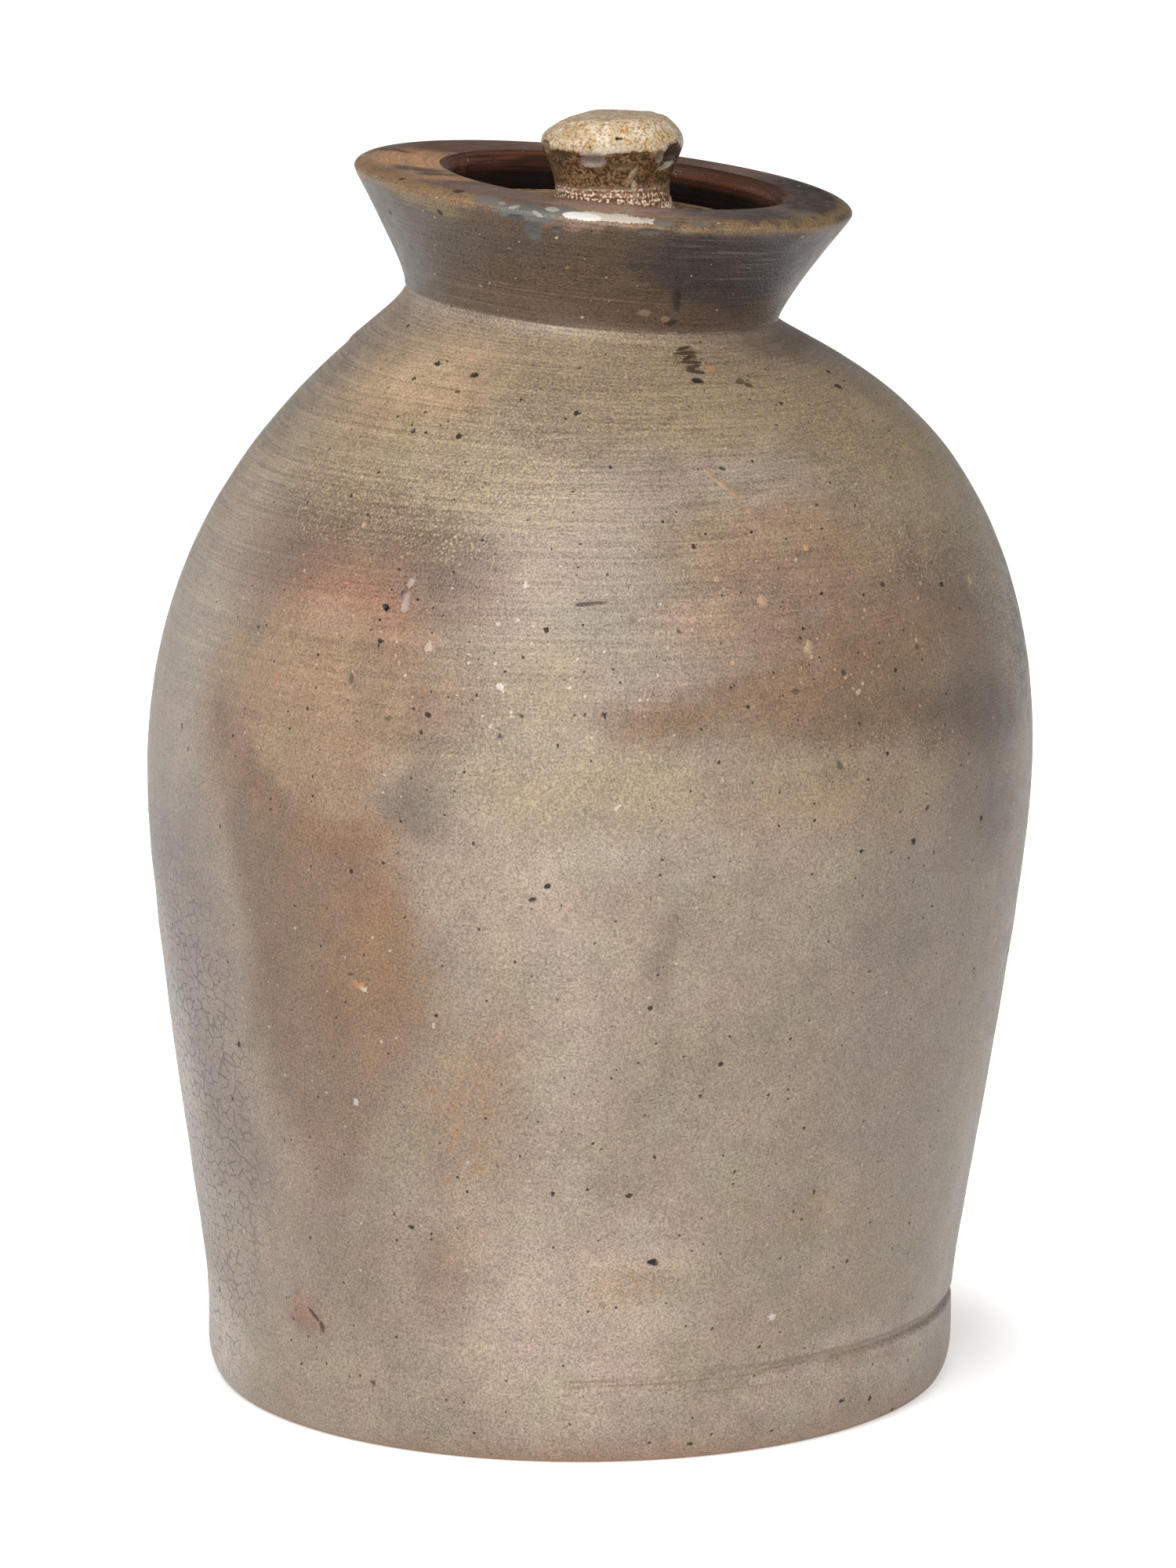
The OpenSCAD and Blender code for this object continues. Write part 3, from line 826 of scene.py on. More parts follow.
JAR_MARKS = (
    # Dark hatched stain on the right shoulder, with its two neighbours
    *(
        (26.0 - 0.3 * row, 264.4 - row, wide, 0.42, slant, 0.2, "#35251d", 0.8)
        for row, (wide, slant) in enumerate(((2.2, 12), (3.4, 6), (2.6, 16), (3.2, -2), (2.2, 10), (2.4, -8)))
    ),
    (23.5, 257.4, 1.3, 0.55, 0, 0.3, "#2b1b14", 0.95),
    (34.6, 256.9, 1.5, 0.7, 20, 0.1, "#4a3b31", 0.75),
    (36.2, 256.0, 1.2, 0.6, -10, 0.1, "#43352c", 0.8),
    (29.5, 260, 1.4, 0.91, -20, -0.2, "#bd8a63", 0.9),
    # Stains and specks low on the collar
    (23, 277, 1, 3.6, 15, 0.2, "#33281f", 0.85),
    (24, 270.5, 1.68, 1.12, 20, 0.2, "#33281f", 0.85),
    (14.5, 273, 1.54, 1.05, 0, -0.1, "#9a8066", 0.7),
    (21.5, 271.6, 1.26, 0.77, 0, -0.1, "#9a8066", 0.7),
    (-8, 283, 0.7, 0.49, 0, -0.1, "#b08058", 0.8),
    (35.5, 60, 0.9, 0.6, 0, 0.1, "#7d6238", 0.7),
    # Iron pits on the left shoulder and the blush
    (-30, 256, 1.14, 0.78, 0, 0.8, "#3d2a1a", 0.95),
    (-32, 252.5, 0.6, 0.42, 0, 0.5, "#3d2a1a", 0.9),
    (-37, 244, 1.14, 0.54, 30, 0.7, "#33241a", 0.95),
    (-36.5, 248, 0.72, 0.36, 30, 0.4, "#33241a", 0.8),
    (-54, 238, 0.6, 0.36, 20, 0.4, DARK, 0.9),
    (-38.5, 222, 0.66, 0.48, -10, 0.6, DARK, 1.0),
    (-50, 217, 0.54, 0.42, 0, 0.5, DARK, 0.9),
    (-30, 207, 1.02, 0.78, -20, 1.0, "#1d1410", 1.0),
    (-32, 206.5, 0.72, 0.3, 30, 0.4, DARK, 0.7),
    (-28, 210.5, 0.48, 0.66, 20, 0.6, DARK, 0.9),
    (-14.5, 217, 0.84, 0.36, 10, 0.4, "#5c3f31", 0.9),
    (-19, 235, 0.54, 0.36, 0, 0.4, DARK, 0.9),
    # Iron pits round the belly on the left
    (-22, 180, 0.96, 0.66, 25, 0.8, "#241b1c", 0.95),
    (-27, 182.5, 0.91, 0.77, 0, 0.2, "#5c5149", 0.8),
    (-12, 180, 0.96, 0.6, 25, 0.7, "#3a2b25", 0.95),
    (-10.5, 184, 0.42, 0.36, 0, 0.4, "#5c3a2a", 0.9),
    (-4.5, 178, 0.72, 0.66, 0, 0.6, "#33271f", 0.95),
    (-42, 174, 0.72, 0.54, -30, 0.6, DARK, 0.95),
    (-39, 165, 0.78, 0.42, -20, 0.5, DARK, 0.95),
    (-34, 174, 0.54, 0.54, 0, 0.4, DARK, 0.8),
    (-33, 190.5, 0.66, 1.2, 10, 0.3, "#665a50", 0.8),
    (1, 184.7, 1.08, 0.9, 0, 0.9, "#1c1616", 1.0),
    (-1, 210, 4.4, 0.45, 4, 0.4, "#3d2f29", 0.85),
    (4, 214, 0.54, 0.42, -20, 0.6, DARK, 1.0),
    # Iron pits and soot on the right
    (11, 203.5, 0.6, 0.48, 0, 0.5, DARK, 0.9),
    (34, 192, 0.78, 0.42, 25, 0.5, "#3b2d2a", 0.9),
    (26.5, 188.5, 1.47, 0.77, 0, 0.2, "#5e4a3d", 0.8),
    (32, 170.5, 1.02, 1.14, -30, 0.3, "#545152", 0.9),
    (26, 173, 0.66, 0.3, 0, 0.3, DARK, 0.8),
    (24, 158.5, 0.78, 0.66, -30, 0.7, DARK, 1.0),
    (27, 164, 1.8, 0.24, 8, 0.3, "#4a3b2e", 0.8),
    (47, 157, 0.72, 0.6, 0, 0.6, DARK, 0.95),
    (56, 167, 0.96, 0.36, 35, 0.4, DARK, 0.85),
    (47.5, 195, 0.66, 1.32, -20, 0.3, "#5d4a44", 0.8),
    (46.5, 191, 0.54, 0.78, 20, 0.3, "#4d3a33", 0.85),
    (43.5, 210, 0.84, 0.72, 0, 0.5, "#513a3c", 0.9),
    (59, 201, 1.2, 0.36, 15, 0.4, DARK, 0.85),
    (62.5, 112, 0.48, 1.14, 0, 0.6, DARK, 0.95),
    (64, 253, 1.14, 0.66, -20, 0.7, "#3a2818", 0.95),
    (36, 229, 0.6, 0.42, 0, 0.4, DARK, 0.85),
    (21, 238.5, 0.72, 0.36, -20, 0.5, DARK, 0.9),
    # Iron pits below the belly
    (-7, 141.5, 1.14, 0.72, 10, 0.8, "#2a2524", 1.0),
    (-5.2, 145, 0.78, 0.54, 20, 0.7, "#2a2524", 1.0),
    (-8.5, 146, 0.6, 0.42, 0, 0.4, "#4d443c", 0.8),
    (9.8, 51, 1.14, 0.96, 10, 1.0, "#20150f", 1.0),
    (11.5, 150, 0.6, 0.42, 0, 0.4, DARK, 0.8),
    (-33, 107, 0.66, 0.54, 0, 0.6, DARK, 0.95),
    (-26, 115, 0.54, 0.42, 0, 0.5, DARK, 0.9),
    (-21.5, 82.5, 0.66, 0.54, 0, 0.6, DARK, 0.95),
    (-24.5, 58, 0.84, 0.48, -20, 0.6, DARK, 0.95),
    (-24.5, 64.5, 0.54, 0.42, 0, 0.4, DARK, 0.85),
    (-12, 75.5, 0.54, 0.48, 0, 0.5, DARK, 0.9),
    (29.5, 49, 0.54, 0.48, 0, 0.5, DARK, 0.95),
    (24, 54, 0.66, 0.54, 0, 0.5, DARK, 0.9),
    (23, 43, 0.84, 0.42, 0, 0.5, "#5b4328", 0.85),
    (35, 39.5, 0.54, 0.42, 0, 0.4, DARK, 0.85),
    (53.5, 45, 0.72, 0.54, 0, 0.5, DARK, 0.9),
    (34, 64.5, 0.54, 0.48, 0, 0.4, DARK, 0.85),
    (-32.5, 16.5, 1.14, 0.54, -15, 0.6, "#4c2f22", 0.9),
    (43, 9, 1.14, 0.48, 10, 0.6, DARK, 0.9),
    (30, 5, 0.72, 0.36, 0, 0.4, DARK, 0.8),
    # White grains and orange pebbles that burst through
    (-10, 214, 0.8, 0.9, 0, -0.3, "#dfd5ca", 0.85),
    (-12, 191, 2.0, 0.65, -38, -0.4, "#e4dad0", 0.9),
    (-27, 207.7, 1.05, 1.33, 10, 0.2, "#b8a396", 0.9),
    (-27, 213, 0.91, 1.82, -10, -0.2, "#b9a79b", 0.85),
    (-22.5, 199, 0.98, 1.19, -20, -0.3, "#cdb59c", 0.9),
    (-33, 259, 1.26, 1.19, 0, -0.3, "#c7a08a", 0.9),
    (-37.5, 211.5, 0.91, 0.7, 0, -0.2, "#cf9169", 0.8),
    (-36, 210.5, 0.66, 0.6, 0, 0.3, "#6f6863", 0.8),
    (-45.5, 188.5, 1.19, 1.05, 0, -0.2, "#bb8961", 0.75),
    (-22, 189.5, 0.77, 0.84, 0, -0.2, "#c08a62", 0.8),
    (29, 198.5, 1.26, 1.96, -20, -0.5, "#b39a80", 0.95),
    (28, 200.5, 0.54, 0.72, 0, 0.6, "#4a3a30", 0.9),
    (18.6, 237.4, 1.5, 0.55, -50, -0.3, "#b08e70", 0.85),
    (20.2, 235.2, 1.7, 0.8, -40, -0.4, "#b89675", 0.85),
    (21.9, 232.9, 1.6, 0.9, -60, -0.3, "#b28e6e", 0.85),
    (23.5, 229, 0.9, 1.1, -20, -0.3, "#bf9a76", 0.85),
    (11.5, 192, 1.54, 0.7, 0, -0.3, "#c7a183", 0.95),
    (3.5, 163.5, 1.33, 0.84, 0, -0.3, "#d8ccbf", 0.9),
    (4.5, 187, 1.54, 0.7, 0, -0.2, "#b7a79c", 0.8),
    (8, 204, 1.05, 0.98, 0, -0.3, "#bda58b", 0.85),
    (5, 206.5, 1.05, 1.19, 0, 0.2, "#847567", 0.8),
    (16, 169.5, 1.26, 0.84, 0, -0.2, "#bfb1a4", 0.85),
    (36, 187, 0.84, 0.77, 0, -0.3, "#c4ab90", 0.9),
    (23, 209.5, 1.05, 1.47, 10, -0.3, "#bf9e82", 0.85),
    (31.5, 220, 0.7, 0.91, 0, -0.3, "#c89f73", 0.9),
    (51, 208.5, 0.91, 1.05, 0, -0.3, "#b99f88", 0.85),
    (64, 206, 1.12, 1.68, 0, -0.3, "#b9a287", 0.85),
    (-30.6, 118, 1.61, 1.33, 0, -0.7, "#c08a5e", 0.9),
    (-29.4, 116.4, 1.26, 0.42, -30, 0.2, "#ded2c4", 0.85),
    (-31.6, 120, 1.08, 0.3, 0, 0.4, "#4b3425", 0.85),
    (29, 34, 1.12, 0.91, 0, -0.3, "#ddd3c9", 0.9),
    (-32, 88, 0.77, 1.05, 0, -0.2, "#d9cfc4", 0.75),
    # Blister at the foot on the left, with a crack down its right side
    (-44.5, 32, 9, 6.5, 0, -1.8, DARK, 0),
    (-42.4, 31.4, 0.55, 2.2, 36, 1.1, "#4a382f", 0.85),
    (-41.5, 28.3, 0.5, 1.7, -4, 0.8, "#4a382f", 0.8),
    (-45.8, 29.6, 2.0, 1.3, 20, -0.5, "#97796a", 0.7),
    (-47.5, 28.5, 0.54, 0.48, 0, 0.4, DARK, 0.85),
    (-48.5, 33.5, 0.48, 0.42, 0, 0.4, DARK, 0.8),
    # Blue-grey flake on the rim's edge, with a run below it, and its broken paler crust
    (-18, 295.8, 8.5, 2.1, 0, 0.25, "#6b6966", 0.9, 60),
    (-27, 296.8, 4.5, 1.1, 0, 0.15, "#79766f", 0.8, 58.5),
    (-9, 296.9, 4.5, 1.0, 0, 0.15, "#7a7873", 0.85, 58.5),
    (-16, 291.4, 2.0, 3.0, 0, 0.2, "#5f5e5c", 0.9),
    # The worn ridge in front, with a painted highlight along it
    (2, 296.8, 10.5, 0.8, 0, 0, "#e3d8ca", 0.8, 59.9),
    (-5, 296.5, 4.6, 0.85, 0, -0.1, "#f4eee7", 0.95, 60.2),
    # Crumbs of the flake's crust and the gaps between them, and grey wear to the right of the ridge
    (-21, 296.5, 1.5, 0.4, 15, -0.2, "#a9a7a1", 0.7, 59.5),
    (-15, 295.8, 1.6, 0.45, -20, -0.2, "#b3b0a9", 0.75, 60.3),
    (-12, 297.1, 1.8, 0.5, 0, -0.2, "#b4b5ae", 0.8, 58.5),
    (-24, 296.8, 1.2, 0.5, 0, -0.2, "#9fa19b", 0.8, 58.8),
    (-20, 294.2, 2.4, 0.8, 0, 0.3, "#474646", 0.9, 60.5),
    (-10.5, 292.6, 1.3, 0.8, 0, 0.3, "#545250", 0.9),
    (10.5, 294.4, 3.0, 1.0, 0, 0.3, "#5b5855", 0.8, 60.6),
    (14, 296.6, 3.0, 0.8, 0, 0.1, "#6f706d", 0.7, 59.5),
    (23, 296.8, 3.4, 0.7, 0, 0.1, "#75746f", 0.6, 58.8),
    # Nicks in the rim's edge on the right, and dark scars on the left
    *(
        (66 + 2.8 * i, 297.3, 0.35, 1.5 - 0.1 * i, 0, 0.15, "#2a1d15", 0.85, 57.5 - 0.5 * (i % 3))
        for i in range(7)
    ),
    (-37, 297.4, 1.4, 0.6, 0, 0.1, "#3d2a1a", 0.85, 57.5),
    (-56, 297.2, 1.0, 0.5, 0, 0.1, "#3d2a1a", 0.8, 58.5),
    # A run of tan glaze over the lip
    (-112, 294.5, 2.2, 3.4, 0, -1.1, "#a57f5d", 0.95, 40.6),
    (-112, 297.6, 2.8, 1.6, 0, -0.3, "#a8754d", 0.85, 42.5),
    # Pits near the seam, at the left
    (-62, 262, 0.6, 0.72, 0, 0.4, DARK, 0.85),
    (-64, 288, 0.48, 1.32, -20, 0.3, "#42372f", 0.8),
)

KNOB_MARKS = (
    # Chips under the brow and at its right, and their pale broken edges
    (-17, 22.0, 3.3, 1.7, 4, 0.9, "#9d8a84", 0.95),
    (-17, 23.8, 3.6, 0.6, 0, -0.2, "#cdbba8", 0.8),
    (60, 22.8, 3.8, 3.0, -10, 2.0, "#54473f", 0.95),
    (57, 20.0, 3.2, 0.8, 10, 0.2, "#cfc2b6", 0.9),
    (44, 22.6, 1.5, 1.8, 0, 0.6, "#ab9c8e", 0.8),
    (-50, 23.0, 3.0, 1.4, 0, 0.5, "#57432f", 0.7),
    (8, 20.6, 2.8, 1.0, 0, 0.4, "#7e6a52", 0.7),
    # A run down the stem, and pits and wear in the crown
    (18, 18.3, 0.8, 2.8, -24, -0.3, "#b09c85", 0.85),
    (22, 15.0, 0.8, 2.4, 10, -0.3, "#bda58c", 0.85),
    (4, 27.6, 0.6, 0.5, 0, 0.5, "#3b2416", 1.0),
    (7, 27.6, 0.5, 0.5, 0, 0.5, "#3b2416", 1.0),
    (2, 25, 5, 0.9, 0, 0, "#dccdb8", 0.6),
    (-70, 24.5, 3.0, 2.0, 0, 0.8, "#8a7258", 0.6),
)

JAR_SIDES = 244
LID_SIDES = 240
MARK_CUTS = 5
MARK_MARGIN = 1
# Keeps the stains the same on each run
STAIN_SEED = 161
WANDER, WANDER_SIZE = 7 * MM, 35 * MM
RAGGED, RAGGED_SIZE = 2.5 * MM, 4 * MM
# Throwing ripples are long round the jar and short up it, and its slow swells are alike both ways
RIPPLE_DEPTH, RIPPLES = 0.14 * MM, (9, 9, 110)
SWELL_DEPTH, SWELLS = 0.35 * MM, 14
BLOTCH, BLOTCH_SIZES = 0.12, (28 * MM, 8 * MM)
HUE_DRIFT, HUE_SIZE = 0.05, 11 * MM
STEP_DROP = 13 * MM
STEP_DEPTH = 0.6 * MM
SEAM_TOP = 0.2 * MM
LIP_SETTLE = 8 * MM
LUMP_DEPTH, LUMP_SIZE = 0.35 * MM, 7 * MM
RIB_DEPTH, RIBS = 0.22 * MM, (60, 60, 1 / (0.9 * MM))
CROWN_SLOPE, CROWN_LUMPS, CROWN_LUMP_SIZE = 1.3 * MM, 0.35 * MM, 4.5 * MM
SHEET_SIZE = 6


def groove_cut(point, s):
    """Depth of the groove above the foot band at a point of the outside."""
    share = ease(0.35, 0.95, math.cos(way_of(point) - s.groove_way))
    return s.groove_depth * share * (1 - ease(0, s.groove_width / 2, abs(point.z - s.groove_height)))


def ripple(point):
    """Throwing ripples and the hand's unevenness, as a change of radius."""
    rippled = noise.noise(point * Vector(RIPPLES))
    return RIPPLE_DEPTH * rippled + SWELL_DEPTH * noise.noise(point * SWELLS)


def shoulder_step(point, s):
    """The band below the collar that stands proud on the left, where the neck was joined on."""
    low = s.neck_height - STEP_DROP
    below_seam = 1 - ease(s.neck_height - 2 * MM, s.neck_height, point.z)
    band = ease(low - MM, low + 0.6 * MM, point.z) * below_seam
    return STEP_DEPTH * band * ease(0.15, 0.8, -math.sin(way_of(point)))


def spot_of(mark, s):
    """Middle of a mark or a patch on the upright jar."""
    height = mark.height * MM
    return place(mark.way, mark.radius * MM if mark.radius else outline_radius(s, height), height)


def wandered(point):
    """A point pushed about a little, so that no stain has a smooth edge."""
    slow = noise.noise_vector(point / WANDER_SIZE)
    quick = noise.noise_vector(point / RAGGED_SIZE)
    return point + WANDER * slow + RAGGED * quick


def measured(mark, spot, point):
    """Distance of a point from the middle of a mark or a patch, along the surface, in shares of its size."""
    turn = math.radians(mark.turn)
    apart = point - spot
    across, up = apart.dot(place(mark.way + 90, 1, 0)), apart.z
    along = (across * math.cos(turn) + up * math.sin(turn)) / (mark.wide * MM)
    aside = (up * math.cos(turn) - across * math.sin(turn)) / (mark.tall * MM)
    inwards = apart.dot(place(mark.way, 1, 0)) / (max(mark.wide, mark.tall) * MM)
    return Vector((along, aside, inwards)).length


def stain(clay, s, colours):
    """Lays the clay's own colours and the patches on the jar: a colour layer for each texture, whose
    alpha says how strongly it covers."""
    layers = {texture: clay.verts.layers.float_color.new(texture) for texture in TEXTURES}
    inside = clay.verts.layers.float["inside"]
    seam = s.neck_height + SEAM_TOP
    rim = s.neck_height + s.collar_height
    points = kdtree.KDTree(len(clay.verts))
    for i, v in enumerate(clay.verts):
        points.insert(wandered(v.co), i)
        fresh = colours.clay if v.co.z < seam else colours.collar if v.co.z < rim else colours.rim
        v[layers["plain"]] = tuple(fresh)
        for texture in TEXTURES[1:]:
            v[layers[texture]] = (*fresh[:3], 0)
    points.balance()
    for patch in (Patch(*row) for row in PATCHES):
        spot = spot_of(patch, s)
        tint = Vector(linear(patch.colour)[:3])
        layer = layers[patch.texture]
        for co, i, _ in points.find_range(spot, max(patch.wide, patch.tall) * MM):
            v = clay.verts[i]
            if v[inside] or (v.co.z > seam) != (spot.z > seam):
                continue
            share = patch.cover * (1 - ease(1 - patch.soft, 1, measured(patch, spot, co)))
            if share > 0:
                below = Vector(v[layer][:3])
                cover = 1 - (1 - v[layer][3]) * (1 - share)
                v[layer] = (*below.lerp(tint, share / cover), cover)
    for v in clay.verts:
        v[layers["plain"]] = (*(a * b for a, b in zip(v[layers["plain"]], blotch(v.co))), 1)


def blotch(point):
    """How uneven firing changes red, green and blue at a point, as three factors."""
    shade = 1 + BLOTCH * sum(noise.noise(point / size) for size in BLOTCH_SIZES)
    return [shade * (1 + HUE_DRIFT * hue) for hue in noise.noise_vector(point / HUE_SIZE)]


def cut_finely(clay, s):
    """Cuts the faces round each mark, so that it has a real shape."""
    middles = kdtree.KDTree(len(clay.edges))
    for i, edge in enumerate(clay.edges):
        middles.insert((edge.verts[0].co + edge.verts[1].co) / 2, i)
    middles.balance()
    clay.edges.ensure_lookup_table()
    near = set()
    for mark in (Mark(*row) for row in JAR_MARKS):
        reach = (max(mark.wide, mark.tall) + MARK_MARGIN) * MM
        near.update(i for _, i, _ in middles.find_range(spot_of(mark, s), reach))
    edges = [clay.edges[i] for i in sorted(near)]
    bmesh.ops.subdivide_edges(clay, edges=edges, cuts=MARK_CUTS, use_grid_fill=True)


def press_marks(clay, rows, spot_for):
    """Paints the marks in the "marks" layer, and in the "edge" layer, which is 1 in the middle of a mark, a
    half at its edge and 0 a size further out. Inside its edge a mark is painted over an earlier one.
    Gives how deep they go at each vertex that they touch."""
    paint_layer = clay.verts.layers.float_color.new("marks")
    edge_layer = clay.verts.layers.float.new("edge")
    points = kdtree.KDTree(len(clay.verts))
    clay.verts.ensure_lookup_table()
    for i, v in enumerate(clay.verts):
        points.insert(v.co, i)
        v[paint_layer] = (0, 0, 0, 0)
    points.balance()
    depths = {}
    for mark in (Mark(*row) for row in rows):
        spot = spot_for(mark)
        paint = (*linear(mark.colour)[:3], mark.cover)
        for co, i, _ in points.find_range(spot, 2 * max(mark.wide, mark.tall) * MM):
            v = clay.verts[i]
            away = measured(mark, spot, co)
            depths[i] = depths.get(i, 0) + mark.depth * MM * (1 - ease(0.25, 1.1, away))
            edge = 1 - away / 2
            if mark.cover and edge > min(0.5, v[edge_layer]):
                v[paint_layer] = paint
                v[edge_layer] = max(edge, v[edge_layer])
    return depths


def finished(clay, name, skin, node):
    """Turns a bmesh into the piece that stands for a node, smooth-shaded, on the one body."""
    for face in clay.faces:
        face.smooth = True
    mesh = bpy.data.meshes.new(name)
    clay.to_mesh(mesh)
    clay.free()
    mesh.materials.append(skin)
    piece = bpy.data.objects.new(name, mesh)
    bpy.context.scene.collection.objects.link(piece)
    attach(piece, "root")
    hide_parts(node)
    return piece


class JAR_OT_throw(bpy.types.Operator):
    """Throw, mark and slump the jar"""

    bl_idname = "jar.throw"
    bl_label = "Throw the jar"

    def execute(self, context):
        noise.seed_set(STAIN_SEED)
        sizes = context.scene.jar_sizes
        kiln = context.scene.jar_slump
        outside = jar_outside(sizes)
        clay = spun(outside + jar_inside(sizes), JAR_SIDES, len(outside))
        cut_finely(clay, sizes)
        thrown = clay.verts.layers.float_vector.new("thrown")
        depths = press_marks(clay, JAR_MARKS, lambda mark: spot_of(mark, sizes))
        stain(clay, sizes, context.scene.jar_colours)
        inside = clay.verts.layers.float["inside"]
        lip_radius = sizes.bore_radius + sizes.lip_round
        rim_height = sizes.neck_height + sizes.collar_height
        for i, v in enumerate(clay.verts):
            v[thrown] = v.co
            flat = Vector((v.co.x, v.co.y, 0))
            outwards = flat.normalized()
            change = depths.get(i, 0) * (1 if v[inside] else -1)
            if not v[inside]:
                change -= groove_cut(v.co, sizes)
                if v.co.z > MM:
                    change += ripple(v.co) + shoulder_step(v.co, sizes)
            v.co += outwards * change
            share = 1 - ease(lip_radius, lip_radius + LIP_SETTLE, flat.length)
            if v.co.z > kiln.sag_height and (v[inside] or v.co.z > rim_height):
                settled = min(1, (v.co.z - kiln.sag_height) / (sizes.neck_height - kiln.sag_height))
                v.co.x += sizes.mouth_shift * share * settled**TILT_POWER
            v.co = slumped(v.co, kiln)
        glaze = salt_glaze(sizes, context.scene.jar_colours)
        finished(clay, "jar_body", glaze, "jar")
        return {"FINISHED"}


def lid_outline(s):
    """Outline of the lid from the middle of its underside to the middle of its crown."""
    top = s.thickness
    stem = Vector((s.stem_radius, top + s.stem_height))
    brow = Vector((s.knob_radius, top + s.brow_height))
    foot = Vector((s.knob_foot, top))
    crown = Vector((s.crown_radius, top + s.knob_height - 0.3 * MM))
    outline = [Vector((0, 0))]
    outline += line(outline[-1], (s.radius - s.edge_round, 0), 6)
    outline += arc((s.radius - s.edge_round, s.edge_round), s.edge_round, s.edge_round, -90, 0, 4)[1:]
    outline += arc((s.radius - s.edge_round, top - s.edge_round), s.edge_round, s.edge_round, 0, 90, 4)
    outline += line(outline[-1], foot, 16)
    flare = (s.stem_radius + MM, top + s.stem_height / 4)
    outline += bezier(foot, flare, stem - Vector((0, s.stem_height / 2)), stem, 22, 1)
    outline += bezier(stem, stem + Vector((0, 4 * MM)), brow - Vector((1.5 * MM, 4 * MM)), brow, 24, 1)
    bulge = brow + Vector((0.5 * MM, 3 * MM))
    outline += bezier(brow, bulge, (s.crown_radius + 2.6 * MM, crown.y - 0.3 * MM), crown, 20, 1)
    outline += line(outline[-1], (0, top + s.knob_height), 22)
    return outline


def knob_lumps(point, s):
    """Unevenness of the knob, and the ribs that the fingers left on its stem, as a change of radius."""
    rise = point.z - s.thickness
    lumps = LUMP_DEPTH * noise.noise(point / LUMP_SIZE) * ease(0, s.stem_height, rise)
    rib = noise.noise(point * Vector(RIBS))
    on_stem = ease(0, MM, rise) * (1 - ease(0.8 * s.stem_height, 1.4 * s.stem_height, rise))
    return lumps + RIB_DEPTH * rib * on_stem


def crown_wear(point, s):
    """How far the crown is worn down: most at its left, where it slopes, with lumps all over."""
    rise = point.z - s.thickness
    top = ease(s.brow_height + MM, s.knob_height - MM, rise)
    slope = CROWN_SLOPE * ease(3 * MM, 13 * MM, -point.x)
    lumps = CROWN_LUMPS * (1 + noise.noise(Vector((point.x, point.y, 0)) / CROWN_LUMP_SIZE))
    return top * (slope + lumps)


class JAR_OT_turn_lid(bpy.types.Operator):
    """Turn the lid and lay it on the ledge"""

    bl_idname = "jar.turn_lid"
    bl_label = "Turn the lid"

    def execute(self, context):
        sizes = context.scene.jar_lid
        jar = context.scene.jar_sizes
        kiln = context.scene.jar_slump
        outline = lid_outline(sizes)
        clay = spun(outline, LID_SIDES)
        thrown = clay.verts.layers.float_vector.new("thrown")
        knob = [p for p in outline if p.y > sizes.thickness]

        def knob_spot(mark):
            height = mark.height * MM
            return place(mark.way, radius_at(knob, height), height)

        depths = press_marks(clay, KNOB_MARKS, knob_spot)
        upright = Matrix.Rotation(-kiln.nod, 3, "X") @ Matrix.Rotation(-kiln.tilt, 3, "Y")
        seat = Vector((jar.mouth_shift, 0, jar.neck_height + jar.ledge_height))
        for i, v in enumerate(clay.verts):
            v[thrown] = v.co
            if v.co.z > sizes.thickness + MM:
                outwards = Vector((v.co.x, v.co.y, 0)).normalized()
                v.co += outwards * (knob_lumps(v.co, sizes) - depths.get(i, 0)) - crown_wear(v.co, sizes) * UP
            above = v.co - sizes.thickness * UP
            share = ease(0, sizes.stem_height, above.z)
            v.co = sizes.thickness * UP + above.lerp(upright @ above, share)
            v.co = slumped(v.co + seat, kiln)
        skin = lid_clay(sizes, context.scene.jar_colours)
        finished(clay, "lid_with_knob", skin, "lid")
        return {"FINISHED"}


def ground_material(colours, studio):
    """Matt white paper ground: pure white to the camera in the open, and it keeps the jar's soft shadow
    out to a distance from the jar's axis."""
    made, tree = empty_material("white_ground")
    paper = add(tree, "BsdfDiffuse", {"Color": colours.ground})
    away = add(tree, "VectorMath", {0: add(tree, "TexCoord").outputs["Object"]}, operation="LENGTH")
    strength = between(tree, away.outputs["Value"], 0.65 * studio.shadow_end, studio.shadow_end, 0.5, 1.0)
    glow = add(tree, "Emission", {"Color": (1, 1, 1, 1), "Strength": strength})
    lit = add(tree, "AddShader", {0: paper.outputs[0], 1: glow.outputs[0]})
    camera, mirrored = ray_kinds(tree)
    seen = calc(tree, "MAXIMUM", camera, times(tree, mirrored, studio.backdrop))
    mixed = add(tree, "MixShader", {0: seen, 1: paper.outputs[0], 2: lit.outputs[0]})
    add(tree, "OutputMaterial", {"Surface": mixed.outputs[0]})
    return made


def lamp(name, power, size, spot, aim):
    """A square area light at a spot, turned to an aim."""
    light = bpy.data.lights.new(name, "AREA")
    light.shape = "RECTANGLE"
    light.size, light.size_y = size
    light.energy = power
    made = bpy.data.objects.new(name, light)
    made.location = spot
    made.rotation_euler = (Vector(aim) - Vector(spot)).to_track_quat("-Z", "Y").to_euler()
    bpy.context.scene.collection.objects.link(made)
    return made


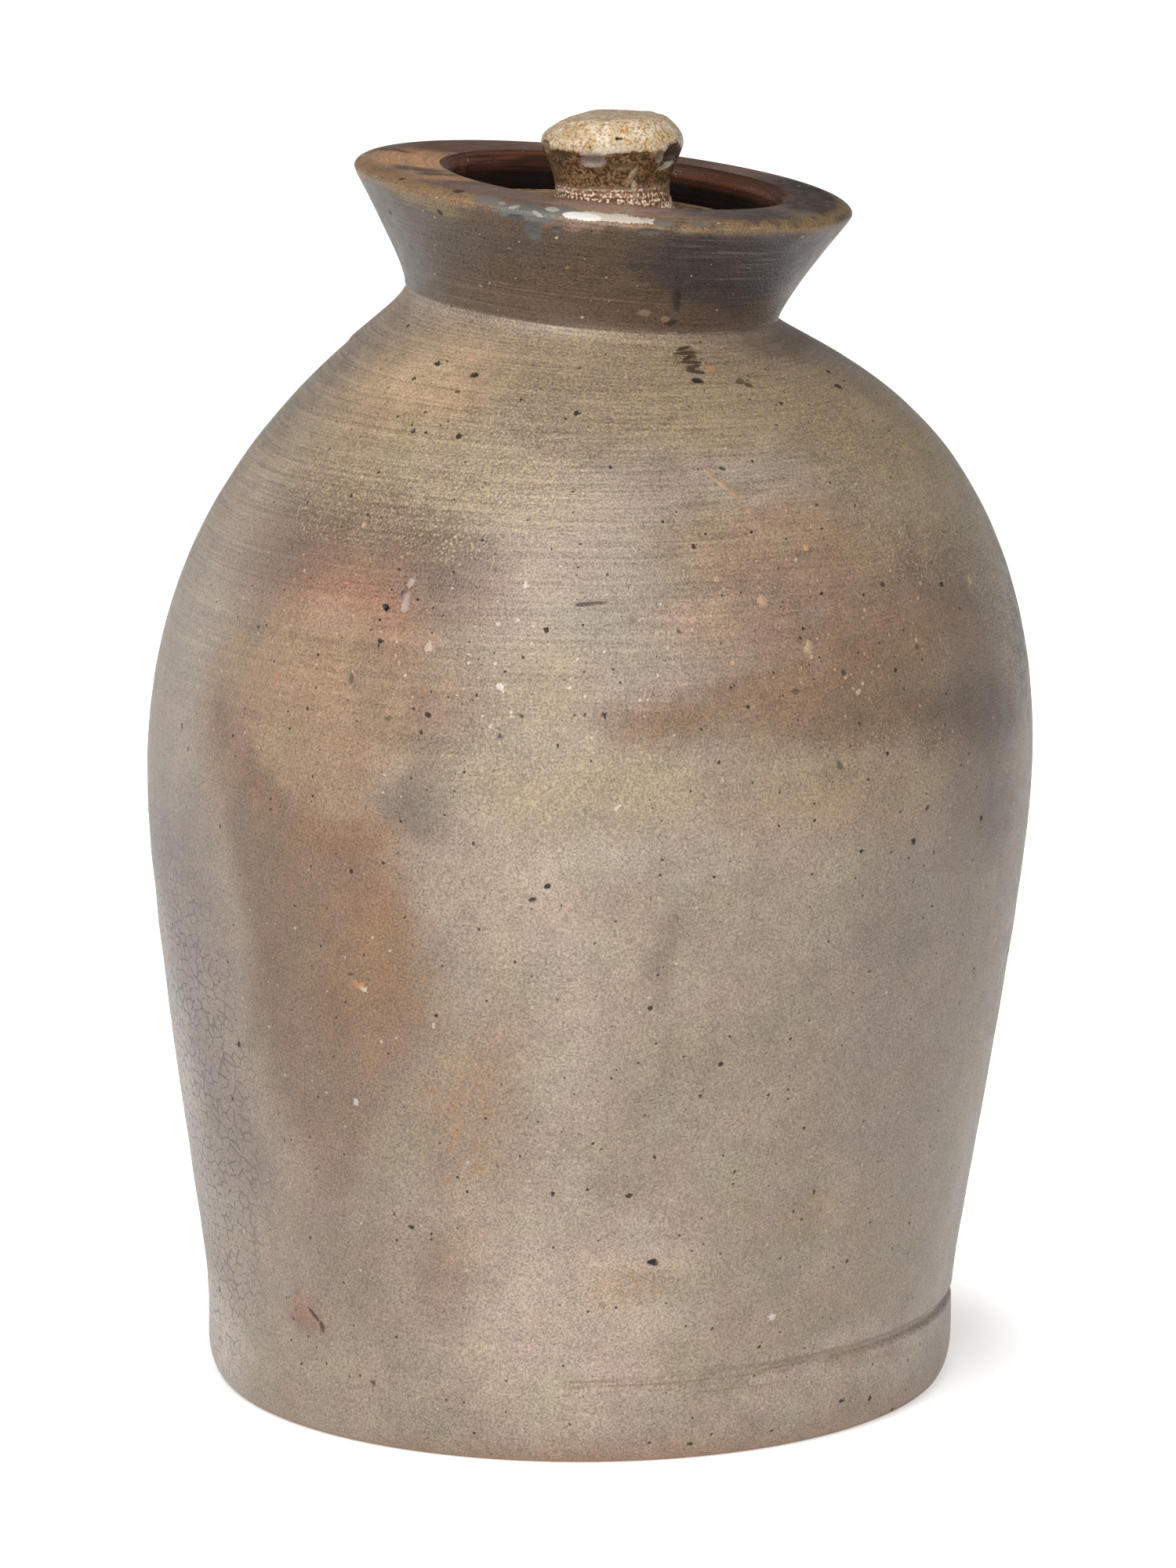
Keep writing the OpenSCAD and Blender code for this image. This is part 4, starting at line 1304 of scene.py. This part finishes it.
class JAR_OT_set_stage(bpy.types.Operator):
    """Lay the white ground and set the soft studio light and the camera"""

    bl_idname = "jar.set_stage"
    bl_label = "Set the stage"

    def execute(self, context):
        scene = context.scene
        studio = scene.jar_studio
        sheet = bmesh.new()
        bmesh.ops.create_grid(sheet, x_segments=1, y_segments=1, size=SHEET_SIZE)
        mesh = bpy.data.meshes.new("ground")
        sheet.to_mesh(mesh)
        sheet.free()
        mesh.materials.append(ground_material(scene.jar_colours, studio))
        ground = bpy.data.objects.new("ground", mesh)
        scene.collection.objects.link(ground)

        middle = (0, 0, 0.15)
        lamp("key_light", studio.key, (0.8, 0.6), (-0.30, -1.15, 1.35), middle)
        lamp("front_light", studio.fill, (1.4, 1.0), (-0.15, -2.4, 0.45), middle)
        lamp("left_edge_light", studio.edge, (0.2, 0.6), (-1.2, 0.85, 0.45), middle)

        world = bpy.data.worlds.new("white_room")
        scene.world = world
        world.use_nodes = True
        tree = world.node_tree
        tree.nodes.clear()
        seen, mirrored = ray_kinds(tree)
        rise = add(tree, "SeparateXYZ", {0: add(tree, "TexCoord").outputs["Generated"]}).outputs["Z"]
        mirror_glow = between(tree, rise, 0.0, 0.2, studio.backdrop, 0.4 * studio.sky)
        glow = between(tree, mirrored, 0, 1, studio.sky, mirror_glow, smooth=False)
        strength = between(tree, seen, 0, 1, glow, 1.0, smooth=False)
        back = add(tree, "Background", {"Color": (1, 1, 1, 1), "Strength": strength})
        add(tree, "OutputWorld", {"Surface": back.outputs[0]})

        lens = bpy.data.cameras.new("camera")
        lens.sensor_width = SENSOR
        lens.lens = studio.focal_pixels / FRAME_PIXELS * SENSOR
        lens.shift_x = studio.offset_pixels / FRAME_PIXELS
        camera = bpy.data.objects.new("camera", lens)
        camera.location = (0, -studio.camera_distance, studio.camera_height)
        camera.rotation_euler = (math.pi / 2 - studio.camera_drop, 0, 0)
        scene.collection.objects.link(camera)
        scene.camera = camera
        scene.view_settings.view_transform = "Standard"
        return {"FINISHED"}


class JAR_PT_panel(bpy.types.Panel):
    """Panel of the jar's steps and settings"""

    bl_idname = "JAR_PT_panel"
    bl_label = "Preserve jar"
    bl_space_type = "VIEW_3D"
    bl_region_type = "UI"
    bl_category = "Jar"

    def draw(self, context):
        layout = self.layout
        for step in STEPS:
            layout.operator(step.bl_idname)
        for group in GROUPS:
            settings = getattr(context.scene, group)
            box = layout.box()
            box.label(text=group)
            for name in settings.__annotations__:
                box.prop(settings, name)


GROUPS = {
    "jar_sizes": JarSizes,
    "jar_slump": SlumpSizes,
    "jar_lid": LidSizes,
    "jar_colours": GlazeColours,
    "jar_studio": StudioSettings,
}
STEPS = (JAR_OT_throw, JAR_OT_turn_lid, JAR_OT_set_stage)


def register():
    """Registers the settings, the steps and the panel."""
    for name, group in GROUPS.items():
        bpy.utils.register_class(group)
        setattr(bpy.types.Scene, name, bpy.props.PointerProperty(type=group))
    for made in (*STEPS, JAR_PT_panel):
        bpy.utils.register_class(made)


def unregister():
    """Takes them away again."""
    for made in (JAR_PT_panel, *reversed(STEPS)):
        bpy.utils.unregister_class(made)
    for name, group in reversed(list(GROUPS.items())):
        delattr(bpy.types.Scene, name)
        bpy.utils.unregister_class(group)


def main():
    """Makes the pieces and the stage."""
    register()
    bpy.ops.jar.throw()
    bpy.ops.jar.turn_lid()
    bpy.ops.jar.set_stage()


if __name__ == "__main__":
    main()
